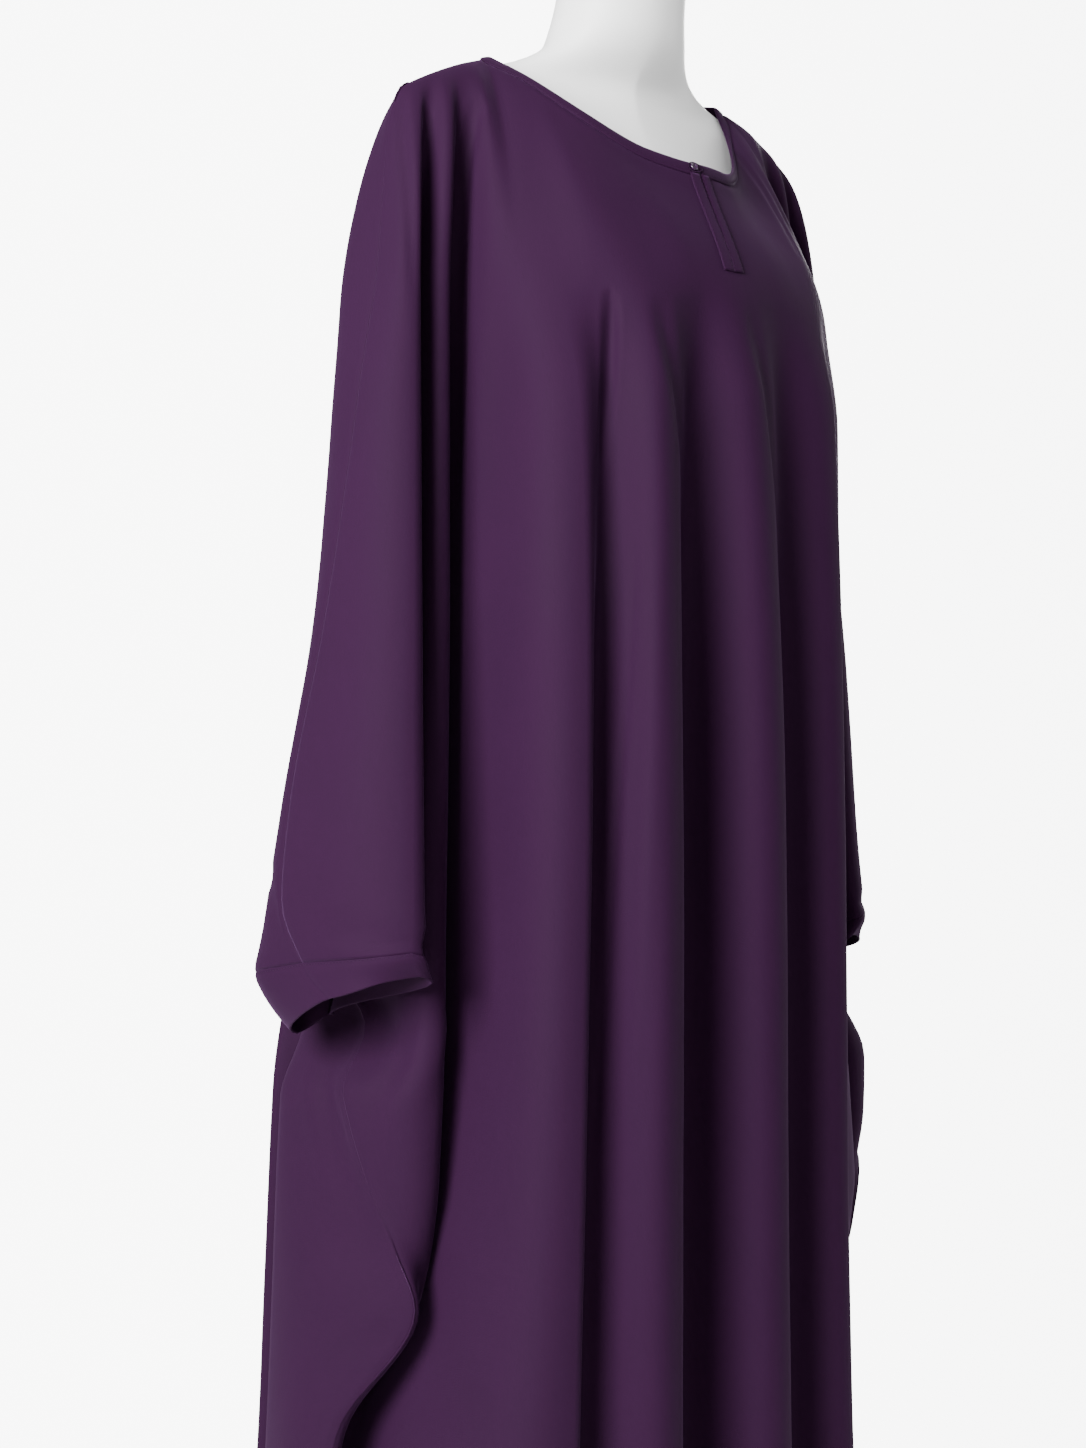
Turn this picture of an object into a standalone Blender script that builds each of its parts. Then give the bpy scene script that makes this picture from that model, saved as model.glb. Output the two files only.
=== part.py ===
"""Butterfly abaya on a limbless dress form, modelled at real size in metres.

The cloth is one smooth draped surface. Below the yoke line it is a stack of level sections,
each drawn through the fold lines of the tables below. Above the yoke line it runs in
curved rails from the section up to the neckline and the shoulder seams. The panels, cuffs,
binding and placket are cut from that surface and given a wall.

Axes: +Z up, the front faces -Y, the wearer's right is -X. The origin is on the floor, on the
flat underside of the base disc, a little to the left of its middle.
"""
import math
from collections import namedtuple

import bmesh
import bpy
from mathutils import Vector

# Driving sizes, in metres.
CLOTH = 0.0010            # thickness of the crepe wall
SEAM_GAP = 0.0004         # space left between two pieces at a seam
LAY_GAP = 0.0004          # space under a piece that lies on another
AXIS_X = -0.009           # the garment hangs a little towards the wearer's right
YOKE_Z = 1.250            # the level where the front folds begin
CUFF_Z = 0.795            # the level of the seam between sleeve and cuff
HEM_Z = 0.022             # the hem clears the floor
SKIRT_LEVELS = (0.756, 0.71, 0.66, 0.61, 0.57, 0.525, 0.47, 0.36, 0.19, HEM_Z)
SLIT_ROWS = 5             # rows of the front that the neck slit opens
STRIP_ROWS = 7            # rows that the placket covers
STRIP_WALL = 0.0010
SLIT_HALF_GAP = 0.0016    # half the width of the slit at the neck
BINDING_DEPTH = 0.009     # from the neck edge to the binding's seam
BINDING_WALL = 0.0014     # the folded binding is thicker than one layer
BUTTON_RADIUS = 0.0030
BUTTON_DEPTH = 0.0022
LOOP_RADIUS = 0.0040
LOOP_WIRE = 0.0006
BASE_RADIUS = 0.150
BASE_HEIGHT = 0.012
POLE_RADIUS = 0.016
RAIL_ROWS = 9             # rows of faces from the top edge to the yoke line
SLEEVE_ROWS = 7           # rows from the yoke line to the cuff seam
SPAN_COLUMNS = 4          # columns of faces between two fold lines
CUFF_ROWS = 3
BINDING_ROWS = 2
ROW_SPREAD = 1.3          # how much closer together the rows are where folds begin
SLOPE_STEP = 0.02         # step down that gives a rail its slope at the yoke line
RAIL_HANDLE = 0.36        # share of a rail's length that keeps that slope
SEAM_AGREE = -0.3         # normals further apart than this are not joined
UNDERARM_RELIEF = 6.0     # the seam gap is this much wider where four edges meet
BINDING_TURN = 0.7        # from here the binding's seam turns towards the shoulder seam
BINDING_RISE = 0.0003     # the binding stands a little proud of the panels
BUTTON_SHARE = 0.5        # from the slit to the binding's next column
BUTTON_SIDES = 20
BUTTON_ROUND = 0.3        # share of the button's depth that its rounded rim takes
LOOP_POINTS = 24
LOOP_REACH = 0.0075       # from the button's middle to the loop's far end, across the slit
BASE_SIDES = 48
POLE_SIDES = 24
FORM_SIDES = 24
SHARP_ANGLE = math.radians(50.0)
NEAR = 0.0001             # places closer than this are the same place

# A knot is one place of a fold line. Heading is the direction in which the section passes
# through it, in degrees. Side rows are measured outwards from AXIS_X, with heading 0
# outwards and 90 backwards, and serve both sides.
Knot = namedtuple("Knot", "z x y heading")
Fold = namedtuple("Fold", "name top handle knots")

# The fold lines between the chest and the sleeve, from the front backwards.
SIDE_FRONT = (
    Fold("chest_edge", 1.18, 0.40, (
        Knot(1.25, 0.148, -0.046, 75), Knot(1.02, 0.155, -0.042, 80), Knot(0.79, 0.158, -0.036, 82),
        Knot(0.57, 0.176, -0.028, 80), Knot(0.47, 0.190, -0.004, 75), Knot(0.02, 0.224, 0.010, 75))),
    Fold("armhole_valley", 1.42, 0.32, (
        Knot(1.25, 0.156, -0.004, 10), Knot(1.02, 0.160, 0.006, 0), Knot(0.79, 0.164, 0.012, 0),
        Knot(0.57, 0.171, 0.028, 5), Knot(0.47, 0.197, 0.070, 10), Knot(0.02, 0.228, 0.112, 10))),
    Fold("wing_crest", 1.58, 0.40, (
        Knot(1.25, 0.172, -0.031, 10), Knot(1.02, 0.178, -0.037, 5), Knot(0.79, 0.186, -0.041, 10),
        Knot(0.66, 0.186, -0.035, 10), Knot(0.61, 0.182, -0.025, -8), Knot(0.57, 0.181, -0.012, -20),
        Knot(0.47, 0.209, 0.042, -60), Knot(0.02, 0.242, 0.086, -60))),
    Fold("side_seam_front", 1.72, 0.34, (
        Knot(1.25, 0.184, 0.004, 0), Knot(1.02, 0.190, 0.022, 0), Knot(0.86, 0.197, 0.036, 0),
        Knot(0.795, 0.204, 0.048, -35), Knot(0.756, 0.193, 0.036, 50), Knot(0.71, 0.222, 0.020, 72),
        Knot(0.66, 0.216, 0.004, 60), Knot(0.61, 0.205, -0.018, 25), Knot(0.57, 0.197, -0.031, 15),
        Knot(0.48, 0.226, 0.020, 10), Knot(0.40, 0.234, 0.032, 10), Knot(0.02, 0.264, 0.060, 10))),
)
SLEEVE_FRONT = Fold("flap_edge", 1.87, 0.36, (
    Knot(1.25, 0.199, -0.034, 20), Knot(1.02, 0.212, -0.050, 25), Knot(0.86, 0.221, -0.062, 30),
    Knot(0.795, 0.226, -0.068, 35)))
OVERARM_SEAM = Fold("overarm_seam", 2.00, 0.40, (
    Knot(1.25, 0.213, -0.004, 85), Knot(1.18, 0.225, -0.002, 85), Knot(1.03, 0.241, 0.014, 85),
    Knot(0.90, 0.256, 0.034, 85), Knot(0.842, 0.260, 0.036, 85), Knot(0.795, 0.257, 0.008, 85)))
SLEEVE_BACK = Fold("flap_back_edge", 1.87, 0.36, (
    Knot(1.25, 0.206, 0.044, 150), Knot(1.02, 0.221, 0.050, 150), Knot(0.87, 0.238, 0.070, 150),
    Knot(0.795, 0.246, 0.084, 155)))
SIDE_BACK = (
    Fold("side_seam_back", 1.72, 0.34, (
        Knot(1.25, 0.184, 0.034, 180), Knot(1.02, 0.190, 0.050, 180), Knot(0.86, 0.197, 0.054, 180),
        Knot(0.795, 0.204, 0.053, 205), Knot(0.756, 0.193, 0.036, 125), Knot(0.71, 0.222, 0.020, 108),
        Knot(0.66, 0.216, 0.004, 95), Knot(0.61, 0.205, -0.018, 75), Knot(0.57, 0.197, -0.031, 55),
        Knot(0.48, 0.226, 0.020, 55), Knot(0.40, 0.234, 0.032, 55), Knot(0.02, 0.264, 0.060, 55))),
    Fold("back_wing_crest", 1.58, 0.40, (
        Knot(1.25, 0.183, 0.066, 110), Knot(1.02, 0.193, 0.080, 110), Knot(0.86, 0.199, 0.090, 110),
        Knot(0.756, 0.201, 0.095, 105), Knot(0.70, 0.224, 0.093, 100), Knot(0.43, 0.233, 0.102, 105),
        Knot(0.02, 0.262, 0.128, 105))),
    Fold("back_armhole_valley", 1.42, 0.32, (
        Knot(1.25, 0.160, 0.083, 150), Knot(1.02, 0.172, 0.098, 155), Knot(0.79, 0.186, 0.112, 160),
        Knot(0.70, 0.195, 0.116, 160), Knot(0.43, 0.198, 0.124, 160), Knot(0.02, 0.222, 0.152, 160))),
    Fold("back_edge", 1.18, 0.40, (
        Knot(1.25, 0.138, 0.104, 150), Knot(1.02, 0.168, 0.124, 140), Knot(0.79, 0.194, 0.132, 130),
        Knot(0.70, 0.206, 0.136, 125), Knot(0.43, 0.212, 0.148, 125), Knot(0.02, 0.236, 0.182, 125))),
    Fold("back_side_valley", 0.82, 0.34, (
        Knot(1.25, 0.096, 0.124, 165), Knot(1.10, 0.108, 0.130, 170), Knot(0.79, 0.128, 0.144, 175),
        Knot(0.43, 0.136, 0.158, 175), Knot(0.02, 0.152, 0.186, 175))),
    Fold("back_crest", 0.42, 0.44, (
        Knot(1.25, 0.050, 0.136, 175), Knot(1.10, 0.056, 0.148, 180), Knot(0.79, 0.070, 0.180, 180),
        Knot(0.43, 0.078, 0.204, 180), Knot(0.02, 0.088, 0.246, 180))),
)
# The far wing hangs further back at the cuff and stands further out below it.
FarShift = namedtuple("FarShift", "z out back")
FAR_SHIFT = (
    FarShift(1.40, 0.000, 0.000), FarShift(1.25, -0.015, 0.006), FarShift(1.02, -0.006, 0.018),
    FarShift(0.80, 0.003, 0.030), FarShift(0.70, 0.030, -0.002), FarShift(0.62, 0.031, -0.006),
    FarShift(0.57, 0.020, -0.002),
    FarShift(0.47, 0.002, 0.000), FarShift(0.02, 0.000, 0.000))

# The folds of the front, from the wearer's right to the left, in true x. Heading 0 is +X.
FRONT_FOLDS = (
    Fold("roll_crest", -0.82, 0.42, (
        Knot(1.25, -0.132, -0.092, -42), Knot(1.18, -0.132, -0.113, -30),
        Knot(0.90, -0.139, -0.128, -18), Knot(0.50, -0.150, -0.130, -15), Knot(0.02, -0.178, -0.150, -15))),
    Fold("valley_1", -0.68, 0.30, (
        Knot(1.25, -0.111, -0.107, -32), Knot(1.18, -0.109, -0.112, -10), Knot(0.90, -0.119, -0.105, 0),
        Knot(0.50, -0.132, -0.103, 0), Knot(0.02, -0.154, -0.113, 0))),
    Fold("crest_1", -0.46, 0.42, (
        Knot(1.25, -0.077, -0.128, -14), Knot(1.18, -0.079, -0.140, -4), Knot(0.90, -0.084, -0.151, 0),
        Knot(0.50, -0.085, -0.153, 0), Knot(0.02, -0.092, -0.174, 0))),
    Fold("valley_2", -0.24, 0.32, (
        Knot(1.25, -0.042, -0.131, -4), Knot(1.18, -0.040, -0.122, 0), Knot(0.90, -0.036, -0.100, 0),
        Knot(0.50, -0.036, -0.097, 0), Knot(0.02, -0.032, -0.104, 0))),
    Fold("crest_2", 0.0, 0.42, (
        Knot(1.25, -0.008, -0.138, 0), Knot(1.18, 0.001, -0.145, 0), Knot(0.90, 0.010, -0.153, 0),
        Knot(0.50, 0.012, -0.156, 0), Knot(0.02, 0.014, -0.178, 0))),
    Fold("valley_3", 0.26, 0.32, (
        Knot(1.25, 0.034, -0.132, 4), Knot(1.18, 0.041, -0.127, 0), Knot(0.90, 0.052, -0.114, 0),
        Knot(0.50, 0.057, -0.112, 0), Knot(0.02, 0.062, -0.124, 0))),
    Fold("crest_3", 0.50, 0.42, (
        Knot(1.25, 0.070, -0.127, 16), Knot(1.18, 0.080, -0.135, 10), Knot(0.90, 0.088, -0.138, 8),
        Knot(0.50, 0.092, -0.141, 6), Knot(0.02, 0.106, -0.162, 6))),
    Fold("valley_4", 0.68, 0.32, (
        Knot(1.25, 0.101, -0.108, 34), Knot(1.18, 0.109, -0.106, 25), Knot(0.90, 0.113, -0.100, 15),
        Knot(0.50, 0.116, -0.101, 10), Knot(0.02, 0.136, -0.118, 10))),
    Fold("far_roll_crest", 0.82, 0.40, (
        Knot(1.25, 0.124, -0.088, 44), Knot(1.18, 0.131, -0.093, 40), Knot(0.90, 0.132, -0.094, 40),
        Knot(0.50, 0.138, -0.094, 35), Knot(0.02, 0.168, -0.118, 30))),
)
BACK_CENTRE = Fold("back_centre_valley", 0.0, 0.34, (
    Knot(1.25, -0.006, 0.138, 180), Knot(1.10, -0.004, 0.140, 180), Knot(0.79, 0.000, 0.158, 180),
    Knot(0.43, 0.003, 0.174, 180), Knot(0.02, 0.006, 0.206, 180)))

# The neckline, right round. Top is the place on the top edge: 0 centre, 1 shoulder seam.
NeckPoint = namedtuple("NeckPoint", "top x y z")
NECK_FRONT = (
    NeckPoint(-1.0, -0.118, 0.003, 1.431), NeckPoint(-0.72, -0.107, -0.033, 1.409),
    NeckPoint(-0.48, -0.084, -0.062, 1.384), NeckPoint(-0.24, -0.046, -0.082, 1.362),
    NeckPoint(0.0, -0.008, -0.092, 1.355), NeckPoint(0.20, 0.022, -0.085, 1.355),
    NeckPoint(0.45, 0.055, -0.060, 1.368), NeckPoint(0.72, 0.082, -0.025, 1.398),
    NeckPoint(1.0, 0.097, 0.006, 1.433))
NECK_BACK = (
    NeckPoint(-1.0, -0.118, 0.003, 1.431), NeckPoint(-0.55, -0.090, 0.042, 1.438),
    NeckPoint(0.0, -0.009, 0.060, 1.440), NeckPoint(0.55, 0.074, 0.043, 1.439),
    NeckPoint(1.0, 0.097, 0.006, 1.433))
SHOULDER_RIGHT = (-0.190, 0.008, 1.400)
SHOULDER_LEFT = (0.172, 0.008, 1.392)
SHOULDER_CROWN = 0.003
# How a rail leaves the top edge, outwards, forwards (backwards on the back) and down.
TopHandle = namedtuple("TopHandle", "place out forward drop")
TOP_HANDLES = (
    TopHandle(0.0, 0.000, 0.014, 0.034), TopHandle(0.6, 0.003, 0.016, 0.030),
    TopHandle(1.0, 0.004, 0.030, 0.016), TopHandle(1.3, 0.003, 0.042, 0.010),
    TopHandle(1.7, 0.008, 0.032, 0.012), TopHandle(1.9, 0.012, 0.022, 0.014),
    TopHandle(2.0, 0.020, 0.000, 0.022))

# The level of the cuff seam where it is not CUFF_Z: it rises towards the front of the wrist.
CUFF_SEAM = {"flap_edge": 0.813, "overarm_seam": 0.803, "flap_back_edge": 0.789}

# The cuff's free edge against its seam. Along runs round the cuff from the side seam, by the front.
CuffEdge = namedtuple("CuffEdge", "along out back drop")
CUFF_EDGE = (
    CuffEdge(0.00, 0.006, 0.002, 0.034), CuffEdge(0.25, -0.009, 0.004, 0.016),
    CuffEdge(0.50, -0.004, -0.026, 0.022), CuffEdge(0.75, -0.014, -0.024, 0.040),
    CuffEdge(1.00, 0.006, 0.002, 0.034))

# The dress form, from the base of the chest to the top of the neck. A section of roundness 2
# is an ellipse, and a lower roundness narrows its ends, as a shoulder narrows towards its tip.
FormSection = namedtuple("FormSection", "z y half_width half_depth roundness")
FORM_SECTIONS = (
    FormSection(0.985, 0.010, 0.060, 0.055, 2.0), FormSection(1.000, 0.010, 0.098, 0.078, 2.0),
    FormSection(1.080, 0.008, 0.112, 0.086, 2.0), FormSection(1.180, 0.004, 0.126, 0.102, 2.0),
    FormSection(1.235, 0.004, 0.128, 0.108, 2.0), FormSection(1.290, 0.006, 0.131, 0.100, 1.9),
    FormSection(1.330, 0.006, 0.136, 0.080, 1.7), FormSection(1.360, 0.006, 0.145, 0.064, 1.55),
    FormSection(1.385, 0.007, 0.152, 0.046, 1.4), FormSection(1.399, 0.008, 0.153, 0.040, 1.35),
    FormSection(1.409, 0.008, 0.1485, 0.037, 1.3), FormSection(1.417, 0.009, 0.134, 0.036, 1.25),
    FormSection(1.4242, 0.008, 0.115, 0.036, 1.25), FormSection(1.430, 0.006, 0.096, 0.038, 1.35),
    FormSection(1.437, 0.003, 0.079, 0.041, 1.5), FormSection(1.447, -0.001, 0.064, 0.045, 1.75),
    FormSection(1.462, -0.004, 0.055, 0.048, 2.0), FormSection(1.487, -0.009, 0.050, 0.048, 2.0),
    FormSection(1.520, -0.015, 0.048, 0.047, 2.0))


def smooth(knots, at):
    """Read a row of (place, value) pairs as a smooth curve that never overshoots."""
    if at <= knots[0][0]:
        return knots[0][1]
    if at >= knots[-1][0]:
        return knots[-1][1]
    slopes = []
    steps = [(b[1] - a[1]) / (b[0] - a[0]) for a, b in zip(knots, knots[1:])]
    for i in range(len(knots)):
        before = steps[max(i - 1, 0)]
        after = steps[min(i, len(steps) - 1)]
        if before * after <= 0.0:
            slopes.append(0.0)
        else:
            slopes.append(2.0 * before * after / (before + after))
    i = max(k for k in range(len(knots) - 1) if knots[k][0] <= at)
    span = knots[i + 1][0] - knots[i][0]
    t = (at - knots[i][0]) / span
    rise = knots[i + 1][1] - knots[i][1]
    start = slopes[i] * span
    end = slopes[i + 1] * span
    curve = t * t * (3.0 - 2.0 * t) * rise + t * (1.0 - t) ** 2 * start - t * t * (1.0 - t) * end
    return knots[i][1] + curve


def fold_at(fold, z, side):
    """Place, heading and handle of a fold line at level z. Side is -1, 1, or 0 for true x."""
    rows = sorted(fold.knots)
    x = smooth([(k.z, k.x) for k in rows], z)
    y = smooth([(k.z, k.y) for k in rows], z)
    heading = smooth([(k.z, k.heading) for k in rows], z)
    if side == 0:
        return Vector((x, y)), math.radians(heading), fold.handle
    if side > 0:
        shifts = sorted(FAR_SHIFT)
        x += smooth([(s.z, s.out) for s in shifts], z)
        y += smooth([(s.z, s.back) for s in shifts], z)
    return Vector((AXIS_X + side * x, y)), math.radians(side * heading), fold.handle


def bezier(p0, p1, p2, p3, t):
    """Point of a cubic curve."""
    s = 1.0 - t
    return s ** 3 * p0 + 3.0 * s * s * t * p1 + 3.0 * s * t * t * p2 + t ** 3 * p3


def neck_edge(place, neck):
    """Point of the neckline, for a place from -1 to 1."""
    return Vector([smooth([(p.top, p[k]) for p in neck], place) for k in (1, 2, 3)])


def shoulder_seam(share, side, neck):
    """Point of a shoulder seam, from the neck edge (share 0) to the shoulder (share 1)."""
    root = Vector((neck[0] if side < 0 else neck[-1])[1:])
    tip = Vector(SHOULDER_RIGHT if side < 0 else SHOULDER_LEFT)
    crown = SHOULDER_CROWN * 4.0 * share * (1.0 - share)
    return root.lerp(tip, share) + Vector((0.0, 0.0, crown))


def top_handle(place, facing):
    """How a rail leaves its top. Facing is -1 on the front and 1 on the back."""
    reach = abs(place)
    side = -1.0 if place < 0 else 1.0
    rows = [(h.place, h) for h in TOP_HANDLES]
    out, forward, drop = (smooth([(p, h[k]) for p, h in rows], reach) for k in (1, 2, 3))
    return Vector((side * out, facing * forward, -drop))


def panel_top(place, neck, facing):
    """Where a panel begins: at the binding's seam, or on the shoulder seam beyond it."""
    side = -1 if place < 0 else 1
    along = shoulder_seam(1.0, side, neck) - shoulder_seam(0.0, side, neck)
    if abs(place) > 1.0 - NEAR:
        first = BINDING_DEPTH / along.length
        return shoulder_seam(first + (1.0 - first) * (abs(place) - 1.0), side, neck)
    down = top_handle(place, facing).normalized()
    turn = max((abs(place) - BINDING_TURN) / (1.0 - BINDING_TURN), 0.0) ** 2
    return neck_edge(place, neck) + BINDING_DEPTH * down.lerp(along.normalized(), turn).normalized()


class Column:
    """One line down the cloth, from the top of its panel to the hem or the cuff seam."""

    def __init__(self, start, end, share, neck, facing):
        self.start = start
        self.end = end
        self.share = share
        self.neck = neck
        self.facing = facing
        self.place = start.place + (end.place - start.place) * share
        first = CUFF_SEAM.get(start.fold.name, CUFF_Z)
        last = CUFF_SEAM.get(end.fold.name, CUFF_Z)
        self.cuff_z = first + (last - first) * share

    def at_level(self, z):
        """Point at level z, on or below the yoke line."""
        a, heading_a, handle_a = fold_at(self.start.fold, z, self.start.side)
        b, heading_b, handle_b = fold_at(self.end.fold, z, self.end.side)
        reach = (b - a).length
        leave = a + handle_a * reach * Vector((math.cos(heading_a), math.sin(heading_a)))
        arrive = b - handle_b * reach * Vector((math.cos(heading_b), math.sin(heading_b)))
        flat = bezier(a, leave, arrive, b, self.share)
        return Vector((flat.x, flat.y, z))

    def on_rail(self, level):
        """Point above the yoke line. Level is 0 at the panel's top and 1 at the yoke line."""
        foot = self.at_level(YOKE_Z)
        down = (self.at_level(YOKE_Z - SLOPE_STEP) - foot).normalized()
        top = panel_top(self.place, self.neck, self.facing)
        leave = top + top_handle(self.place, self.facing)
        arrive = foot - down * RAIL_HANDLE * (top - foot).length
        return bezier(top, leave, arrive, foot, level)

    def point(self, row):
        """Point at a row: the rails first, then the levels below the yoke line."""
        if row <= RAIL_ROWS:
            return self.on_rail(row / RAIL_ROWS)
        return self.at_level(self.row_level(row))

    def row_level(self, row):
        """Level of a row below the yoke line. Rows are closer together where folds begin."""
        if row <= CUFF_ROW:
            share = (row - RAIL_ROWS) / SLEEVE_ROWS
            return YOKE_Z + (self.cuff_z - YOKE_Z) * share ** ROW_SPREAD
        return SKIRT_LEVELS[row - CUFF_ROW - 1]


Station = namedtuple("Station", "fold side place")


def stations(folds, side):
    """Stations of one side, in the order of the folds given."""
    return [Station(fold, side, side * fold.top) for fold in folds]


def columns(line, neck, facing):
    """Columns through a line of stations, SPAN_COLUMNS to a span and one at the end."""
    found = []
    for start, end in zip(line, line[1:]):
        for step in range(SPAN_COLUMNS):
            found.append(Column(start, end, step / SPAN_COLUMNS, neck, facing))
    found.append(Column(line[-2], line[-1], 1.0, neck, facing))
    return found


def front_line():
    """Stations of the front, from the right overarm seam to the left one."""
    outward = list(SIDE_FRONT) + [SLEEVE_FRONT, OVERARM_SEAM]
    middle = [Station(fold, 0, fold.top) for fold in FRONT_FOLDS]
    return stations(outward[::-1], -1) + middle + stations(outward, 1)


def back_line():
    """Stations of the back, from the left overarm seam to the right one."""
    inward = [OVERARM_SEAM, SLEEVE_BACK] + list(SIDE_BACK)
    centre = [Station(BACK_CENTRE, 0, 0.0)]
    return stations(inward, 1) + centre + stations(inward[::-1], -1)


CUFF_ROW = RAIL_ROWS + SLEEVE_ROWS
LAST_ROW = CUFF_ROW + len(SKIRT_LEVELS)
SLEEVE_COLUMNS = 2 * SPAN_COLUMNS


class Sheet:
    """An open surface of quads whose faces look outwards, ready to be given a wall."""

    def __init__(self, name, wall=CLOTH):
        self.name = name
        self.wall = wall
        self.points = []
        self.faces = []
        self.index = {}

    def vertex(self, key, point):
        """Index of the point stored under a key."""
        if key not in self.index:
            self.index[key] = len(self.points)
            self.points.append(point)
        return self.index[key]

    def normals(self):
        """Normal of each point, from this sheet's own faces."""
        found = [Vector() for _ in self.points]
        for face in self.faces:
            a, b, c, d = (self.points[i] for i in face)
            normal = (c - a).cross(d - b)
            for i in face:
                found[i] += normal
        return [n.normalized() for n in found]

    def borders(self):
        """Border edges, each with the direction in its face away from the edge."""
        counts = {}
        for face in self.faces:
            for k in range(4):
                edge = (face[k], face[(k + 1) % 4])
                counts[edge] = face
        return [(edge, face) for edge, face in counts.items() if edge[::-1] not in counts]


def seam_key(point):
    """Points of two sheets that meet at a seam share this key."""
    return tuple(round(v, 5) for v in point)


def join_normals(sheets):
    """Give each sheet normals that agree with its neighbours along their seams."""
    own = {sheet.name: sheet.normals() for sheet in sheets}
    shared = {}
    for sheet in sheets:
        for point, normal in zip(sheet.points, own[sheet.name]):
            shared.setdefault(seam_key(point), []).append(normal)
    for sheet in sheets:
        sheet.outward = []
        for point, normal in zip(sheet.points, own[sheet.name]):
            near = [n for n in shared[seam_key(point)] if n.dot(normal) > SEAM_AGREE]
            sheet.outward.append(sum(near, Vector()).normalized())


def seam_pull(sheet):
    """Shift of each border point towards its own sheet, which opens the seam gap."""
    sides = {}
    for (a, b), face in sheet.borders():
        along = (sheet.points[b] - sheet.points[a]).normalized()
        middle = sum((sheet.points[i] for i in face), Vector()) / 4.0
        inward = middle - sheet.points[a]
        inward -= along * inward.dot(along)
        for i in (a, b):
            sides.setdefault(i, []).append(inward.normalized())
    pulls = {}
    for i, found in sides.items():
        total = sum(found, Vector())
        spread = 1.0 + (found[0].dot(found[1]) if len(found) == 2 else 0.0)
        pulls[i] = total / max(spread, 0.5) * SEAM_GAP * 0.5
    return pulls


def wall_mesh(sheet, lift=0.0):
    """Closed mesh of a sheet: its faces, the same faces on the inside, and the rims."""
    pulls = seam_pull(sheet)
    mesh = bmesh.new()
    outer = []
    inner = []
    for i, point in enumerate(sheet.points):
        base = point + pulls.get(i, Vector()) * sheet.relief.get(i, 1.0)
        outer.append(mesh.verts.new(base + sheet.outward[i] * lift))
        inner.append(mesh.verts.new(base + sheet.outward[i] * (lift - sheet.wall)))
    for face in sheet.faces:
        mesh.faces.new([outer[i] for i in face])
        mesh.faces.new([inner[i] for i in reversed(face)])
    for (a, b), _ in sheet.borders():
        mesh.faces.new((outer[b], outer[a], inner[a], inner[b]))
    bmesh.ops.triangulate(mesh, faces=mesh.faces[:])
    return mesh


def panel(name, line, neck, facing, slit_column=None):
    """A front or back panel with its half of each sleeve."""
    sheet = Sheet(name)
    sheet.relief = {}
    grid = columns(line, neck, facing)
    last = len(grid) - 1

    def corner(column, row, left):
        split = column == slit_column and row < SLIT_ROWS
        key = (column, row, left if split else None)
        if key in sheet.index:
            return sheet.index[key]
        point = grid[column].point(row)
        if split:
            open_share = 1.0 - row / SLIT_ROWS
            point.x += (1.0 if left else -1.0) * SLIT_HALF_GAP * open_share
        return sheet.vertex(key, point)

    for column in range(last):
        sleeve = column < SLEEVE_COLUMNS or column >= last - SLEEVE_COLUMNS
        for row in range(CUFF_ROW if sleeve else LAST_ROW):
            sheet.faces.append((
                corner(column, row, True), corner(column, row + 1, True),
                corner(column + 1, row + 1, False), corner(column + 1, row, False)))
    for column in (SLEEVE_COLUMNS, last - SLEEVE_COLUMNS):
        sheet.relief[corner(column, CUFF_ROW, None)] = UNDERARM_RELIEF
    return sheet, grid


def cuff(name, ring):
    """A cuff band, from the sleeve's seam to its free edge. Ring is its columns, in order."""
    sheet = Sheet(name, CLOTH)
    sheet.relief = {}
    count = len(ring)
    side = -1.0 if name.endswith("right") else 1.0

    def corner(column, row):
        share = row / CUFF_ROWS
        around = column / count
        if side < 0:
            around = 1.0 - around
        place = (column % count, row)
        if place in sheet.index:
            return sheet.index[place]
        out, back, drop = (smooth([(e.along, e[k]) for e in CUFF_EDGE], around) for k in (1, 2, 3))
        curl = share ** 1.5
        point = ring[column % count].at_level(ring[column % count].cuff_z)
        point += Vector((side * out * curl, back * curl, -drop * share))
        return sheet.vertex(place, point)

    for column in range(count):
        for row in range(CUFF_ROWS):
            sheet.faces.append((
                corner(column, row), corner(column, row + 1),
                corner(column + 1, row + 1), corner(column + 1, row)))
    sheet.relief[corner(0, 0)] = UNDERARM_RELIEF
    return sheet


def binding(front_grid, back_grid):
    """The neck binding, one band round the neckline that is open at the slit."""
    sheet = Sheet("neck_binding", BINDING_WALL)
    sheet.relief = {}
    ring = [(c, NECK_FRONT, -1) for c in front_grid if abs(c.place) < 1.0 + NEAR]
    ring += [(c, NECK_BACK, 1) for c in back_grid if abs(c.place) < 1.0 - NEAR]
    start = next(k for k, (c, _, facing) in enumerate(ring) if facing < 0 and abs(c.place) < NEAR)
    order = ring[start:] + ring[:start + 1]

    def corner(k, row):
        column, neck, facing = order[k]
        if (k, row) in sheet.index:
            return sheet.index[(k, row)]
        edge = neck_edge(column.place, neck)
        point = edge.lerp(panel_top(column.place, neck, facing), row / BINDING_ROWS)
        if k == 0:
            point.x += SLIT_HALF_GAP
        if k == len(order) - 1:
            point.x -= SLIT_HALF_GAP
        return sheet.vertex((k, row), point)

    for k in range(len(order) - 1):
        for row in range(BINDING_ROWS):
            sheet.faces.append((
                corner(k, row), corner(k, row + 1), corner(k + 1, row + 1), corner(k + 1, row)))
    return sheet


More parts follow.
